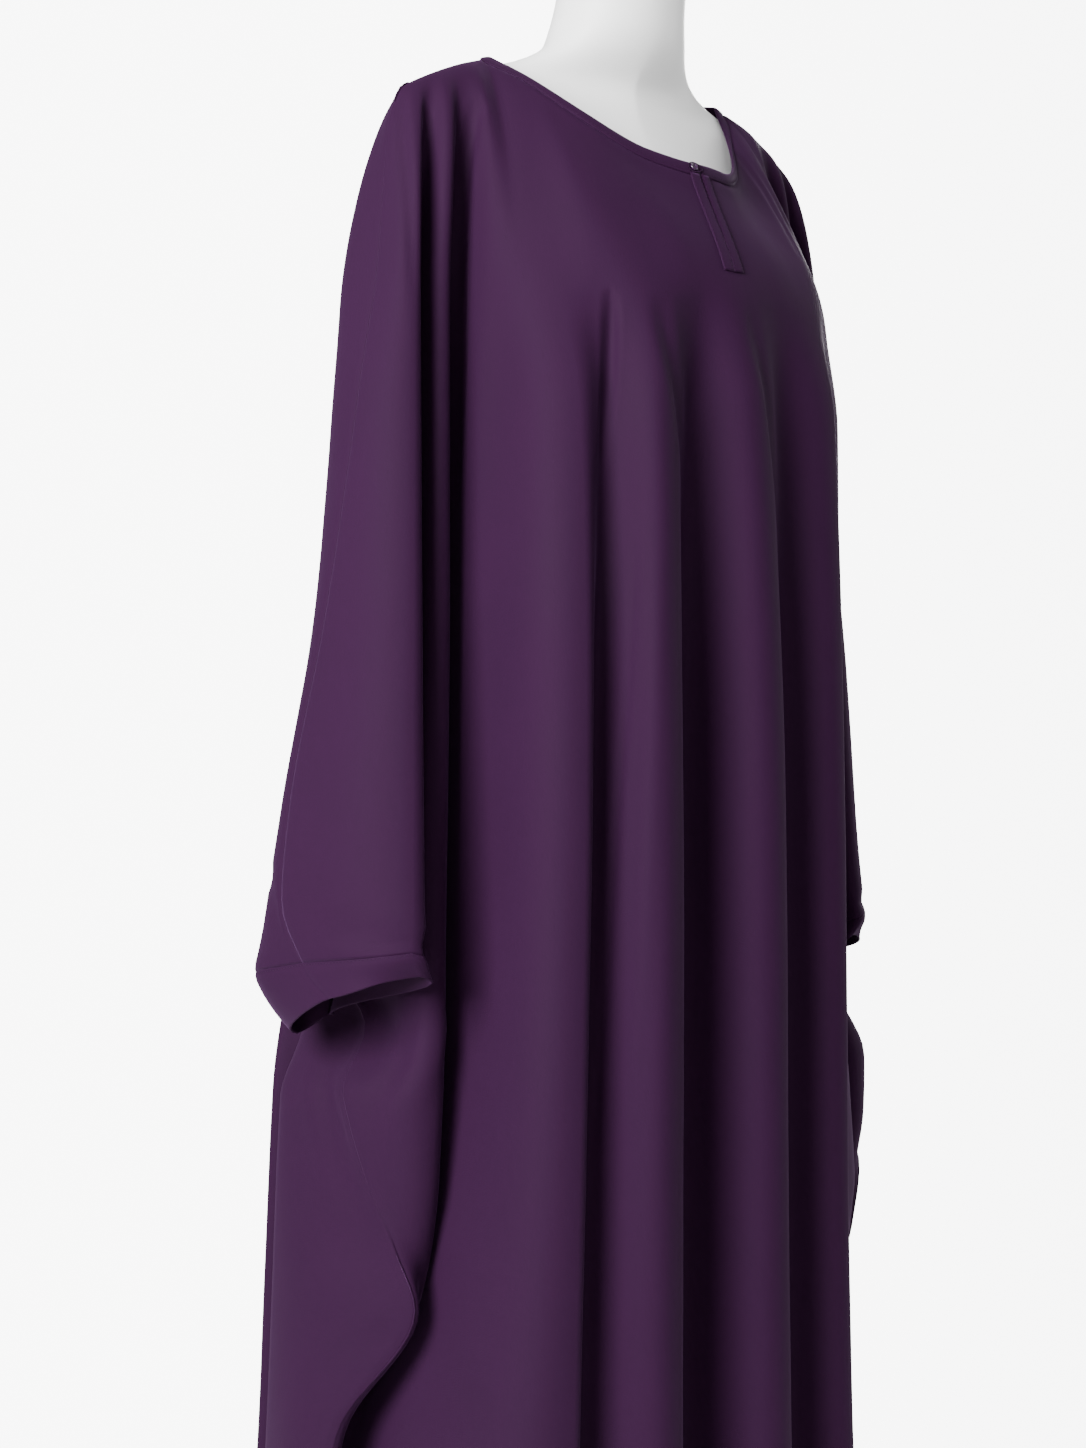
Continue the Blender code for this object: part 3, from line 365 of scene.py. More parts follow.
def smooth(row: Sequence[tuple[float, float]], at: float) -> float:
    """Read a row of places and values as a smooth curve that never overshoots.

    Args:
        row: Pairs of place and value, in rising order of place.
        at: The place to read.

    Returns:
        The value there.
    """
    if at <= row[0][0]:
        return row[0][1]
    if at >= row[-1][0]:
        return row[-1][1]
    steps = [(b[1] - a[1]) / (b[0] - a[0]) for a, b in zip(row, row[1:])]
    i = max(k for k in range(len(row) - 1) if row[k][0] <= at)

    def slope(k: int) -> float:
        """Slope of the curve at one of its pairs."""
        before = steps[max(k - 1, 0)]
        after = steps[min(k, len(steps) - 1)]
        if before * after <= 0.0:
            return 0.0
        return 2.0 * before * after / (before + after)

    span = row[i + 1][0] - row[i][0]
    t = (at - row[i][0]) / span
    rise = row[i + 1][1] - row[i][1]
    start = slope(i) * span
    end = slope(i + 1) * span
    return row[i][1] + t * t * (3.0 - 2.0 * t) * rise + t * (1.0 - t) ** 2 * start - t * t * (1.0 - t) * end


def curve(rows: Sequence[Any], by: str, read: str, at: float) -> float:
    """Read one field of a table's rows as a smooth curve over another field."""
    return smooth([(getattr(row, by), getattr(row, read)) for row in rows], at)


def bezier(p0: Vector, p1: Vector, p2: Vector, p3: Vector, t: float) -> Vector:
    """Point of a cubic curve at t."""
    s = 1.0 - t
    return s ** 3 * p0 + 3.0 * s * s * t * p1 + 3.0 * s * t * t * p2 + t ** 3 * p3


@lru_cache(maxsize=None)
def fold_at(fold: Fold, z: float, side: Side) -> tuple[Vector, Vector]:
    """Place and heading of a fold line at a level.

    Args:
        fold: The fold line.
        z: The level.
        side: Its side, or middle where the knots are in true x.

    Returns:
        The point in the level, and the unit direction of the section through it.
    """
    rows = sorted(fold.knots, key=lambda k: k.z)
    x = curve(rows, "z", "x", z)
    y = curve(rows, "z", "y", z)
    turn = math.radians(curve(rows, "z", "heading", z))
    if side is Side.LEFT:
        shifts = sorted(FAR_SHIFT, key=lambda s: s.z)
        x += curve(shifts, "z", "out", z)
        y += curve(shifts, "z", "back", z)
    if side is not Side.MIDDLE:
        x = AXIS_X + side.value * x
        turn *= side.value
    return Vector((x, y)), Vector((math.cos(turn), math.sin(turn)))


def neck_edge(place: float, panel: Panel) -> Vector:
    """Point of the neckline, for a place from -1 to 1."""
    return Vector([curve(NECK[panel], "top", axis, place) for axis in "xyz"])


def shoulder_seam(share: float, side: Side) -> Vector:
    """Point of a shoulder seam, from the neck edge (share 0) to the shoulder (share 1)."""
    end = NECK[Panel.FRONT][0 if side is Side.RIGHT else -1]
    crown = SHOULDER_CROWN * 4.0 * share * (1.0 - share)
    tip = Vector(SHOULDER_TIP[side])
    return Vector((end.x, end.y, end.z)).lerp(tip, share) + Vector((0.0, 0.0, crown))


def top_handle(place: float, panel: Panel) -> Vector:
    """How a rail leaves the top edge at a place."""
    side = -1.0 if place < 0 else 1.0
    parts = ("out", "forward", "drop")
    out, forward, drop = (curve(TOP_HANDLES, "place", part, abs(place)) for part in parts)
    return Vector((side * out, panel.value * forward, -drop))


def panel_top(place: float, panel: Panel) -> Vector:
    """Where a panel begins: at the binding's seam, or on the shoulder seam beyond it."""
    side = Side.RIGHT if place < 0 else Side.LEFT
    along = shoulder_seam(1.0, side) - shoulder_seam(0.0, side)
    if abs(place) > 1.0 - NEAR:
        first = BINDING_DEPTH / along.length
        return shoulder_seam(first + (1.0 - first) * (abs(place) - 1.0), side)
    down = top_handle(place, panel).normalized()
    turn = max((abs(place) - BINDING_TURN) / (1.0 - BINDING_TURN), 0.0) ** 2
    return neck_edge(place, panel) + BINDING_DEPTH * down.lerp(along.normalized(), turn).normalized()


@dataclass(frozen=True)
class Station:
    """A fold line on one side, and its place on the top edge."""

    fold: Fold
    side: Side

    @property
    def place(self) -> float:
        """Place on the top edge, negative on the wearer's right."""
        return self.fold.top if self.side is Side.MIDDLE else self.side.value * self.fold.top


class Column:
    """One line down the cloth, from the top of its panel to the hem or the cuff seam."""

    def __init__(self, start: Station, end: Station, share: float, panel: Panel) -> None:
        """Place the column between two stations.

        Args:
            start: The station before it.
            end: The station after it.
            share: How far it lies from the first to the second.
            panel: The panel it belongs to.
        """
        self.start = start
        self.end = end
        self.share = share
        self.panel = panel
        self.place = start.place + (end.place - start.place) * share
        first = CUFF_SEAM.get(start.fold.name, CUFF_Z)
        last = CUFF_SEAM.get(end.fold.name, CUFF_Z)
        self.cuff_z = first + (last - first) * share
        self.foot = self.at_level(YOKE_Z)
        down = (self.at_level(YOKE_Z - SLOPE_STEP) - self.foot).normalized()
        self.top = panel_top(self.place, panel)
        self.leave = self.top + top_handle(self.place, panel)
        self.arrive = self.foot - down * RAIL_HANDLE * (self.top - self.foot).length

    def at_level(self, z: float) -> Vector:
        """Point at level z, on or below the yoke line."""
        a, out_of_a = fold_at(self.start.fold, z, self.start.side)
        b, into_b = fold_at(self.end.fold, z, self.end.side)
        reach = (b - a).length
        leave = a + out_of_a * self.start.fold.handle * reach
        arrive = b - into_b * self.end.fold.handle * reach
        flat = bezier(a, leave, arrive, b, self.share)
        return Vector((flat.x, flat.y, z))

    def point(self, down: float) -> Vector:
        """Point at a place down the column: 0 top, 1 yoke line, 2 cuff level, then the skirt."""
        if down <= RAIL:
            return bezier(self.top, self.leave, self.arrive, self.foot, down)
        if down <= SLEEVE:
            return self.at_level(YOKE_Z + (self.cuff_z - YOKE_Z) * (down - RAIL))
        levels = (self.cuff_z,) + SKIRT_LEVELS
        step = min(int(down - SLEEVE), len(SKIRT_LEVELS) - 1)
        share = down - SLEEVE - step
        return self.at_level(levels[step] + (levels[step + 1] - levels[step]) * share)

    def at_height(self, z: float) -> Vector:
        """Point at height z, on the rail where z is above the yoke line."""
        if z <= YOKE_Z:
            return self.at_level(z)
        low, high = 0.0, 1.0
        for _ in range(20):
            middle = (low + high) / 2.0
            if self.point(middle).z > z:
                low = middle
            else:
                high = middle
        return self.point(low)


def stations_of(panel: Panel) -> list[Station]:
    """Stations of a panel in the order of the ring: near seam, front, far seam, back."""
    if panel is Panel.FRONT:
        outward = list(SIDE_FRONT) + [SLEEVE_FRONT, OVERARM_SEAM]
        right = [Station(fold, Side.RIGHT) for fold in outward[::-1]]
        middle = [Station(fold, Side.MIDDLE) for fold in FRONT_FOLDS]
        return right + middle + [Station(fold, Side.LEFT) for fold in outward]
    inward = [OVERARM_SEAM, SLEEVE_BACK] + list(SIDE_BACK)
    left = [Station(fold, Side.LEFT) for fold in inward]
    right = [Station(fold, Side.RIGHT) for fold in inward[::-1]]
    return left + [Station(BACK_CENTRE, Side.MIDDLE)] + right


def column_at(place: float, panel: Panel) -> Column:
    """The column at any place of a panel."""
    line = stations_of(panel)
    for start, end in zip(line, line[1:]):
        low, high = sorted((start.place, end.place))
        if low - NEAR <= place <= high + NEAR:
            return Column(start, end, (place - start.place) / (end.place - start.place), panel)
    raise ValueError(f"no column at place {place}")


FACE_STEPS = 11           # columns of faces between two fold lines
FINE_STEPS = {"roll_crest": 14, "valley_1": 24, "crest_1": 16, "crest_2": 17, "crest_3": 13, "valley_4": 13,
              "far_roll_crest": 15}
SEAM_SHARES = (0.02, 0.07)    # extra columns beside a seam
TOP_ROWS = (0.004, 0.012)     # extra rows beside the top seam
RAIL_ROWS = 45
SLEEVE_ROWS = 44
SEAM_ROWS = (1.985, 1.995)    # extra rows beside the cuff seam
SKIRT_ROW = 0.0085        # height of a row of faces in the skirt
HEM_DEPTH = 0.020         # depth of the turned hem
SAMPLE = 0.004            # distance between the points of a crease's line
PLACE_WINDOW = 0.30       # a crease presses only the cloth this near along the panel
GROOVE_DEPTH = 0.0007
GROOVE_WIDTH = 0.0022
ALLOWANCE_RISE = 0.00020  # the seam allowance behind the cloth lifts it a little
ALLOWANCE_AT = 0.0065
ALLOWANCE_WIDTH = 0.0040
SEAM_AGREE = -0.3         # normals further apart than this are not joined
CELL = 0.026              # cells of space that the points near a crease are looked up in
BANK_SHARE = 0.12         # height of the soft banks beside a crease, against its depth
BANK_AT = 1.6             # distance of the banks, in widths of the crease
BANK_WIDTH = 0.35
CREASE_TAPER = 0.7        # how soon a crease fades towards its ends
CREASE_REACH = 3.0        # widths of a crease, past which it presses no cloth
HEM_GROOVE = 0.5          # depth of the hem's groove, against a seam's
SIDE_SEAM_PLACE = 1.72
FLAP_PLACE = 1.87
OVERARM_PLACE = 2.00
STILL_DEPTH = 0.030       # the cloth keeps still this near the top seams
MERGE = 0.00001           # points closer than this are one


def as_object(name: str, mesh: bmesh.types.BMesh, smooth_faces: bool = True) -> bpy.types.Object:
    """Make an object of a finished mesh, at the origin."""
    for face in mesh.faces:
        face.smooth = smooth_faces
    data = bpy.data.meshes.new(name)
    mesh.to_mesh(data)
    made = bpy.data.objects.new(name, data)
    bpy.context.scene.collection.objects.link(made)
    return made


def spun(profile: Sequence[tuple[float, float]], steps: int) -> bmesh.types.BMesh:
    """Spin a profile of (radius, height) right round the upright axis."""
    mesh = bmesh.new()
    points = [mesh.verts.new((radius, 0.0, height)) for radius, height in profile]
    edges = [mesh.edges.new(pair) for pair in zip(points, points[1:])]
    bmesh.ops.spin(mesh, geom=points + edges, cent=(0, 0, 0), axis=(0, 0, 1), dvec=(0, 0, 0),
                   angle=math.tau, steps=steps, use_merge=True)
    bmesh.ops.remove_doubles(mesh, verts=mesh.verts, dist=MERGE)
    return mesh


def round_edges(mesh: bmesh.types.BMesh, edges: Sequence[bmesh.types.BMEdge], size: float) -> None:
    """Round edges of a closed mesh, and turn its faces outwards."""
    bmesh.ops.bevel(mesh, geom=edges, offset=size, offset_type="OFFSET", segments=3, profile=0.5,
                    affect="EDGES", material=-1)
    bmesh.ops.recalc_face_normals(mesh, faces=mesh.faces)


def keep_piece(made: bpy.types.Object, node: Optional[str], finish: bpy.types.Material, slot: str) -> None:
    """Give a piece its finish and body, and put it in place of its node."""
    made.data.materials.append(finish)
    if node:
        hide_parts(node)
    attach(made, BODY)
    LOG.info("%s: %d faces", made.name, len(made.data.polygons))


@dataclass(frozen=True)
class Swell:
    """A slow unevenness of the cloth: waves for each metre across and down, and height."""

    across: float
    down: float
    height: float


SWELLS = (Swell(11.0, 3.0, 0.0011), Swell(30.0, 9.0, 0.00035), Swell(70.0, 30.0, 0.00010))


def swell_at(point: Vector) -> float:
    """Height of the slow unevenness at a point of the cloth."""
    return sum(s.height * noise.noise(Vector((point.x * s.across, point.y * s.across, point.z * s.down)))
               for s in SWELLS)


def seam_relief(distance: float) -> float:
    """Height of the cloth beside a seam: a narrow groove, then the lift of the allowance."""
    groove = math.exp(-(distance / GROOVE_WIDTH) ** 2)
    lift = math.exp(-((distance - ALLOWANCE_AT) / ALLOWANCE_WIDTH) ** 2)
    return ALLOWANCE_RISE * lift - GROOVE_DEPTH * groove


def is_seam(station: Station) -> bool:
    """Whether a station is where two panels are sewn together."""
    return station.fold.name.startswith("side_seam") or station.fold is OVERARM_SEAM


def columns_of(panel: Panel) -> list[Column]:
    """All columns of a panel, closer together where the small creases and the seams are."""
    line = stations_of(panel)
    found = []
    for start, end in zip(line, line[1:]):
        steps = FINE_STEPS.get(start.fold.name, FACE_STEPS)
        shares = [k / steps for k in range(steps)]
        if panel is Panel.FRONT and start.place == 0.0:
            shares = [k / (steps + 1) for k in range(steps + 1)]
        if is_seam(start):
            shares += SEAM_SHARES
        if is_seam(end):
            shares += [1.0 - s for s in SEAM_SHARES]
        found += [Column(start, end, share, panel) for share in sorted(shares)]
    return found + [Column(line[-2], line[-1], 1.0, panel)]


def rows_down() -> list[float]:
    """Places of all rows of a panel, as a column reads them."""
    rows = [0.0, *TOP_ROWS] + [k / RAIL_ROWS for k in range(1, RAIL_ROWS + 1)]
    rows += [RAIL + k / SLEEVE_ROWS for k in range(1, SLEEVE_ROWS)]
    rows += [*SEAM_ROWS, SLEEVE]
    levels = (CUFF_Z,) + SKIRT_LEVELS
    for step, (high, low) in enumerate(zip(levels, levels[1:])):
        count = round((high - low) / SKIRT_ROW)
        rows += [SLEEVE + step + k / count for k in range(1, count + 1)]
    last = len(SKIRT_LEVELS) - 1
    hem = (SKIRT_LEVELS[-2] - HEM_Z - HEM_DEPTH) / (SKIRT_LEVELS[-2] - HEM_Z)
    step = GROOVE_WIDTH / (SKIRT_LEVELS[-2] - HEM_Z)
    rows += [SLEEVE + last + hem + k * step for k in (-1, 0, 1)]
    return sorted(set(rows))


def flat_grid(columns: int, rows: int) -> tuple[bmesh.types.BMesh, Callable[[Any], tuple[int, int]]]:
    """A flat grid of faces, and a function that tells a vertex's column and row.

    Args:
        columns: Number of faces across.
        rows: Number of faces down.

    Returns:
        The mesh, and the function from a vertex to its column and row from the top left.
    """
    mesh = bmesh.new()
    bmesh.ops.create_grid(mesh, x_segments=columns, y_segments=rows, size=0.5)

    def cell(vertex: Any) -> tuple[int, int]:
        """Column and row of a vertex that hasn't moved yet."""
        return round((vertex.co.x + 0.5) * columns), round((0.5 - vertex.co.y) * rows)

    return mesh, cell


@dataclass
class Sheet:
    """A piece of cloth as a grid of faces on the drape, before it gets its wall."""

    name: str
    mesh: bmesh.types.BMesh
    places: list[float] = field(default_factory=list)
    heights: list[float] = field(default_factory=list)
    threads: list[Vector] = field(default_factory=list)
    normals: list[Vector] = field(default_factory=list)
    cells: dict[tuple[int, int, int], list[int]] = field(default_factory=dict)

    def settle(self) -> None:
        """Renumber the vertices and find their normals, once they are in place."""
        self.mesh.verts.ensure_lookup_table()
        self.mesh.verts.index_update()
        self.mesh.normal_update()
        self.normals = [v.normal.copy() for v in self.mesh.verts]

    def press(self, crease: Crease) -> None:
        """Add a crease's trough or ridge to the heights.

        Args:
            crease: The crease, given on this sheet's panel.
        """
        lines = [column_at(s.place, crease.panel).at_height(s.z) for s in crease.path]
        samples = []
        for k, (a, b) in enumerate(zip(lines, lines[1:])):
            count = max(int((b - a).length / SAMPLE), 1)
            for step in range(count + 1):
                share = (k + step / count) / (len(lines) - 1)
                place = smooth([(i, s.place) for i, s in enumerate(crease.path)], k + step / count)
                height = smooth([(i, s.z) for i, s in enumerate(crease.path)], k + step / count)
                samples.append((column_at(place, crease.panel).at_height(height), share, place))
        reach = CREASE_REACH * crease.width
        best: dict[int, tuple[float, float]] = {}
        for spot, share, place in samples:
            for vertex in self.near(spot, reach):
                if abs(self.places[vertex] - place) > PLACE_WINDOW:
                    continue
                distance = (self.mesh.verts[vertex].co - spot).length
                if vertex not in best or distance < best[vertex][0]:
                    best[vertex] = (distance, share)
        for vertex, (distance, share) in best.items():
            t = distance / crease.width
            trough = math.exp(-t * t) - BANK_SHARE * math.exp(-((t - BANK_AT) ** 2) / BANK_WIDTH)
            self.heights[vertex] -= crease.depth * trough * math.sin(math.pi * share) ** CREASE_TAPER

    def near(self, spot: Vector, reach: float) -> list[int]:
        """Vertices within reach of a spot."""
        if not self.cells:
            for v in self.mesh.verts:
                self.cells.setdefault(self.cell_of(v.co), []).append(v.index)
        x, y, z = self.cell_of(spot)
        found = []
        for dx in (-1, 0, 1):
            for dy in (-1, 0, 1):
                for dz in (-1, 0, 1):
                    found += self.cells.get((x + dx, y + dy, z + dz), [])
        return [i for i in found if (self.mesh.verts[i].co - spot).length < reach]

    @staticmethod
    def cell_of(point: Vector) -> tuple[int, int, int]:
        """Cell of a coarse grid of space that a point lies in."""
        return tuple(math.floor(v / CELL) for v in point)

    def surface(self) -> BVHTree:
        """The finished sheet's outer surface, to lay stitches on."""
        return BVHTree.FromBMesh(self.mesh)

    def finish(self, wall: float, lift: float = 0.0) -> bpy.types.Object:
        """Move the points out to their heights and make the object, with its wall.

        Args:
            wall: Thickness of the cloth.
            lift: How far the whole sheet stands out.

        Returns:
            The object, at the origin.
        """
        for vertex, normal, height in zip(self.mesh.verts, self.normals, self.heights):
            vertex.co += normal * (height + lift)
        layer = self.mesh.loops.layers.uv.new("threads")
        for face in self.mesh.faces:
            for loop in face.loops:
                loop[layer].uv = self.threads[loop.vert.index].xy
        self.mesh.normal_update()
        made = as_object(self.name, self.mesh)
        solid = made.modifiers.new("wall", "SOLIDIFY")
        solid.thickness = wall
        solid.offset = -1.0
        return made


def join_normals(sheets: Sequence[Sheet]) -> None:
    """Give sheets that meet at a seam the same normals there, so that they stay joined."""
    shared: dict[tuple[float, ...], list[Vector]] = {}

    def key(point: Vector) -> tuple[float, ...]:
        """Points of two sheets that meet share this key."""
        return tuple(round(v, 5) for v in point)

    for sheet in sheets:
        for vertex, normal in zip(sheet.mesh.verts, sheet.normals):
            shared.setdefault(key(vertex.co), []).append(normal)
    for sheet in sheets:
        joined = []
        for vertex, normal in zip(sheet.mesh.verts, sheet.normals):
            close = [n for n in shared[key(vertex.co)] if n.dot(normal) > SEAM_AGREE]
            joined.append(sum(close, Vector()).normalized())
        sheet.normals = joined


@dataclass
class ClothPanel:
    """The front or the back, each cut in one with its half of both sleeves."""

    panel: Panel
    name: str

    def build(self) -> Sheet:
        """Lay the panel's grid onto the drape, with its creases and seams."""
        columns = columns_of(self.panel)
        rows = rows_down()
        count, depth = len(columns) - 1, len(rows) - 1
        mesh, cell = flat_grid(count, depth)
        cuff_row = rows.index(SLEEVE)
        sides = [k for k, c in enumerate(columns) if abs(abs(c.place) - SIDE_SEAM_PLACE) < NEAR]
        first, last = min(sides), max(sides)
        self.trim(mesh, cell, first, last, cuff_row)
        middle = [k for k, c in enumerate(columns) if abs(c.place) < NEAR]
        slit = middle[0] if self.panel is Panel.FRONT else None
        if slit is not None:
            self.cut_slit(mesh, cell, slit, rows)
        points = [[c.point(row) for row in rows] for c in columns]
        across = self.measure([p[rows.index(RAIL)] for p in points])
        downs = [self.measure(line) for line in points]
        sheet = Sheet(self.name, mesh)
        mesh.verts.ensure_lookup_table()
        moved = []
        for vertex in mesh.verts:
            k, row = cell(vertex)
            point = points[k][row].copy()
            if slit is not None and rows[row] < SLIT_END:
                faces = sum(f.calc_center_median().x for f in vertex.link_faces) / len(vertex.link_faces)
                right = faces < vertex.co.x if k == slit else k < slit
                point.x += (-1.0 if right else 1.0) * self.slit_shift(columns[k], rows[row])
            seams = [(point - points[0][row]).length, (point - points[-1][row]).length]
            if row > cuff_row:
                seams = [(point - points[first][row]).length, (point - points[last][row]).length]
            elif k <= first or k >= last:
                seams.append((point - points[k][cuff_row]).length)
            seams.append((point - points[k][0]).length)
            hem = abs(point.z - HEM_Z - HEM_DEPTH)
            still = min((point - points[k][0]).length / STILL_DEPTH, 1.0)
            height = seam_relief(min(seams)) + still * swell_at(point)
            height -= HEM_GROOVE * GROOVE_DEPTH * math.exp(-(hem / GROOVE_WIDTH) ** 2)
            moved.append((vertex, point))
            sheet.places.append(columns[k].place)
            sheet.heights.append(height)
            sheet.threads.append(Vector((across[k], downs[k][row])))
        for vertex, point in moved:
            vertex.co = point
        sheet.settle()
        for crease in CREASES:
            if crease.panel is self.panel:
                sheet.press(crease)
        return sheet

    @staticmethod
    def measure(line: Sequence[Vector]) -> list[float]:
        """Length of a line of points up to each of them."""
        found = [0.0]
        for a, b in zip(line, line[1:]):
            found.append(found[-1] + (b - a).length)
        return found

    @staticmethod
    def slit_shift(column: Column, down: float) -> float:
        """How far the slit pushes a column aside at a place down."""
        if column.start.place != 0.0 and column.end.place != 0.0:
            return 0.0
        away = column.share if column.start.place == 0.0 else 1.0 - column.share
        return SLIT_HALF_GAP * (1.0 - down / SLIT_END) * max(1.0 - away / STRIP_SPAN, 0.0)

    @staticmethod
    def trim(mesh: bmesh.types.BMesh, cell: Callable[[Any], tuple[int, int]],
             first: int, last: int, cuff_row: int) -> None:
        """Cut away the grid below the cuffs, outside the side seams."""
        beyond = []
        for face in mesh.faces:
            cells = [cell(v) for v in face.verts]
            below = min(row for _, row in cells) >= cuff_row
            outside = max(k for k, _ in cells) <= first or min(k for k, _ in cells) >= last
            if below and outside:
                beyond.append(face)
        bmesh.ops.delete(mesh, geom=beyond, context="FACES")

    @staticmethod
    def cut_slit(mesh: bmesh.types.BMesh, cell: Callable[[Any], tuple[int, int]],
                 slit: int, rows: Sequence[float]) -> None:
        """Part the grid along the neck slit."""
        edges = []
        for edge in mesh.edges:
            (k, row), (n, other) = cell(edge.verts[0]), cell(edge.verts[1])
            if k == n == slit and rows[max(row, other)] <= SLIT_END + NEAR:
                edges.append(edge)
        bmesh.ops.split_edges(mesh, edges=edges)


def cuff_place(column: Column) -> float:
    """How far round the cuff a column lies, from the side seam by the front."""
    reach = abs(column.place)
    if reach < FLAP_PLACE:
        turn = 0.25 * (reach - SIDE_SEAM_PLACE) / (FLAP_PLACE - SIDE_SEAM_PLACE)
    else:
        turn = 0.25 + 0.25 * (reach - FLAP_PLACE) / (OVERARM_PLACE - FLAP_PLACE)
    return turn if column.panel is Panel.FRONT else 1.0 - turn


@dataclass
class Cuff:
    """One sleeve's turned band, from its stitch line to its free edge."""

    side: Side
    wall: float = 0.0014
    shares: tuple[float, ...] = (0.0, 0.03, 0.08, 0.16, 0.28, 0.40, 0.52, 0.64, 0.76, 0.88, 0.96, 1.0)

    @property
    def name(self) -> str:
        """Name of the cuff's piece."""
        return f"cuff_cloth_{self.side.name.lower()}"

    def ring(self) -> list[Column]:
        """Columns round the sleeve, from one panel's side seam to the other's."""
        picked = {}
        for panel in Panel:
            found = [c for c in columns_of(panel) if c.place * self.side.value > SIDE_SEAM_PLACE - NEAR]
            picked[panel] = found
        if self.side is Side.RIGHT:
            return picked[Panel.BACK] + picked[Panel.FRONT][1:]
        return picked[Panel.FRONT] + picked[Panel.BACK][1:]

    def point(self, column: Column, share: float) -> Vector:
        """Point of the band, from its seam (share 0) to its free edge (share 1)."""
        around = cuff_place(column)
        out, back, drop = (curve(CUFF_EDGE, "along", part, around) for part in ("out", "back", "drop"))
        curl = share ** 1.5
        shift = Vector((self.side.value * out * curl, back * curl, -drop * share))
        return column.at_level(column.cuff_z) + shift

    def build(self) -> Sheet:
        """Lay the band's grid round the wrist."""
        ring = self.ring()
        ring.append(ring[0])
        mesh, cell = flat_grid(len(ring) - 1, len(self.shares) - 1)
        sheet = Sheet(self.name, mesh)
        points = [[self.point(c, share) for share in self.shares] for c in ring]
        across = ClothPanel.measure([p[0] for p in points])
        seam = next(k for k, c in enumerate(ring) if abs(abs(c.place) - OVERARM_PLACE) < NEAR)
        facts = {}
        for vertex in mesh.verts:
            k, row = cell(vertex)
            point = points[k][row]
            nearest = min((point - points[k][0]).length, (point - points[seam][row]).length)
            facts[vertex] = (point, seam_relief(nearest) + swell_at(point), Vector((across[k], point.z)))
        for vertex, (point, _, _) in facts.items():
            vertex.co = point
        ends = [v for v in mesh.verts if len(v.link_faces) < 4]
        bmesh.ops.remove_doubles(mesh, verts=ends, dist=NEAR)
        sheet.settle()
        for vertex in mesh.verts:
            _, height, thread = facts[vertex]
            sheet.heights.append(height)
            sheet.threads.append(thread)
            sheet.places.append(0.0)
        return sheet

    def seam_line(self, share: float) -> list[Vector]:
        """Line round the band at a share of its depth, for stitches."""
        return [self.point(c, share) for c in self.ring()]


@dataclass
class Binding:
    """The narrow folded band round the neckline, open at the slit."""

    wall: float = 0.0014
    rise: float = 0.0003
    roll: float = 0.0006
    lap: float = 1.12
    half_gap: float = 0.0005
    rows: int = 8

    def ring(self) -> list[Column]:
        """Columns round the neckline, from one side of the slit to the other."""
        front = [c for c in columns_of(Panel.FRONT) if abs(c.place) < 1.0 + NEAR]
        back = [c for c in columns_of(Panel.BACK) if abs(c.place) < 1.0 - NEAR]
        start = next(k for k, c in enumerate(front) if abs(c.place) < NEAR)
        ends = [column_at(side, Panel.FRONT) for side in (1.0, -1.0)]
        right = [c for c in front[:start] if c.place > -1.0 + NEAR]
        left = [c for c in front[start:] if c.place < 1.0 - NEAR]
        return left + [ends[0]] + back + [ends[1]] + right + [front[start]]

    def point(self, columns: Sequence[Column], k: int, share: float) -> Vector:
        """Point of the band, from the neck edge (share 0) over its seam (share 1) to its lap."""
        column = columns[k]
        point = neck_edge(column.place, column.panel).lerp(column.top, min(share, 1.0))
        if share > 1.0:
            down = (column.point(TOP_ROWS[-1]) - column.top).normalized()
            point += down * (share - 1.0) * BINDING_DEPTH
        if k == 0:
            point.x += self.half_gap
        if k == len(columns) - 1:
            point.x -= self.half_gap
        return point

    def build(self) -> Sheet:
        """Lay the band's grid round the neckline."""
        ring = self.ring()
        mesh, cell = flat_grid(len(ring) - 1, self.rows)
        sheet = Sheet("neck_binding_cloth", mesh)
        points = [[self.point(ring, k, self.lap * row / self.rows) for row in range(self.rows + 1)]
                  for k in range(len(ring))]
        across = ClothPanel.measure([p[0] for p in points])
        moved = []
        for vertex in mesh.verts:
            k, row = cell(vertex)
            share = row / self.rows
            sheet.heights.append(self.roll * math.sin(math.pi * share) ** 0.6)
            sheet.threads.append(Vector((across[k], share * BINDING_DEPTH)))
            sheet.places.append(ring[k].place)
            moved.append((vertex, points[k][row]))
        for vertex, point in moved:
            vertex.co = point
        sheet.settle()
        return sheet

    def seam_line(self, share: float) -> list[Vector]:
        """Line round the band at a share of its depth, for stitches."""
        ring = self.ring()
        return [self.point(ring, k, share) for k in range(len(ring))]


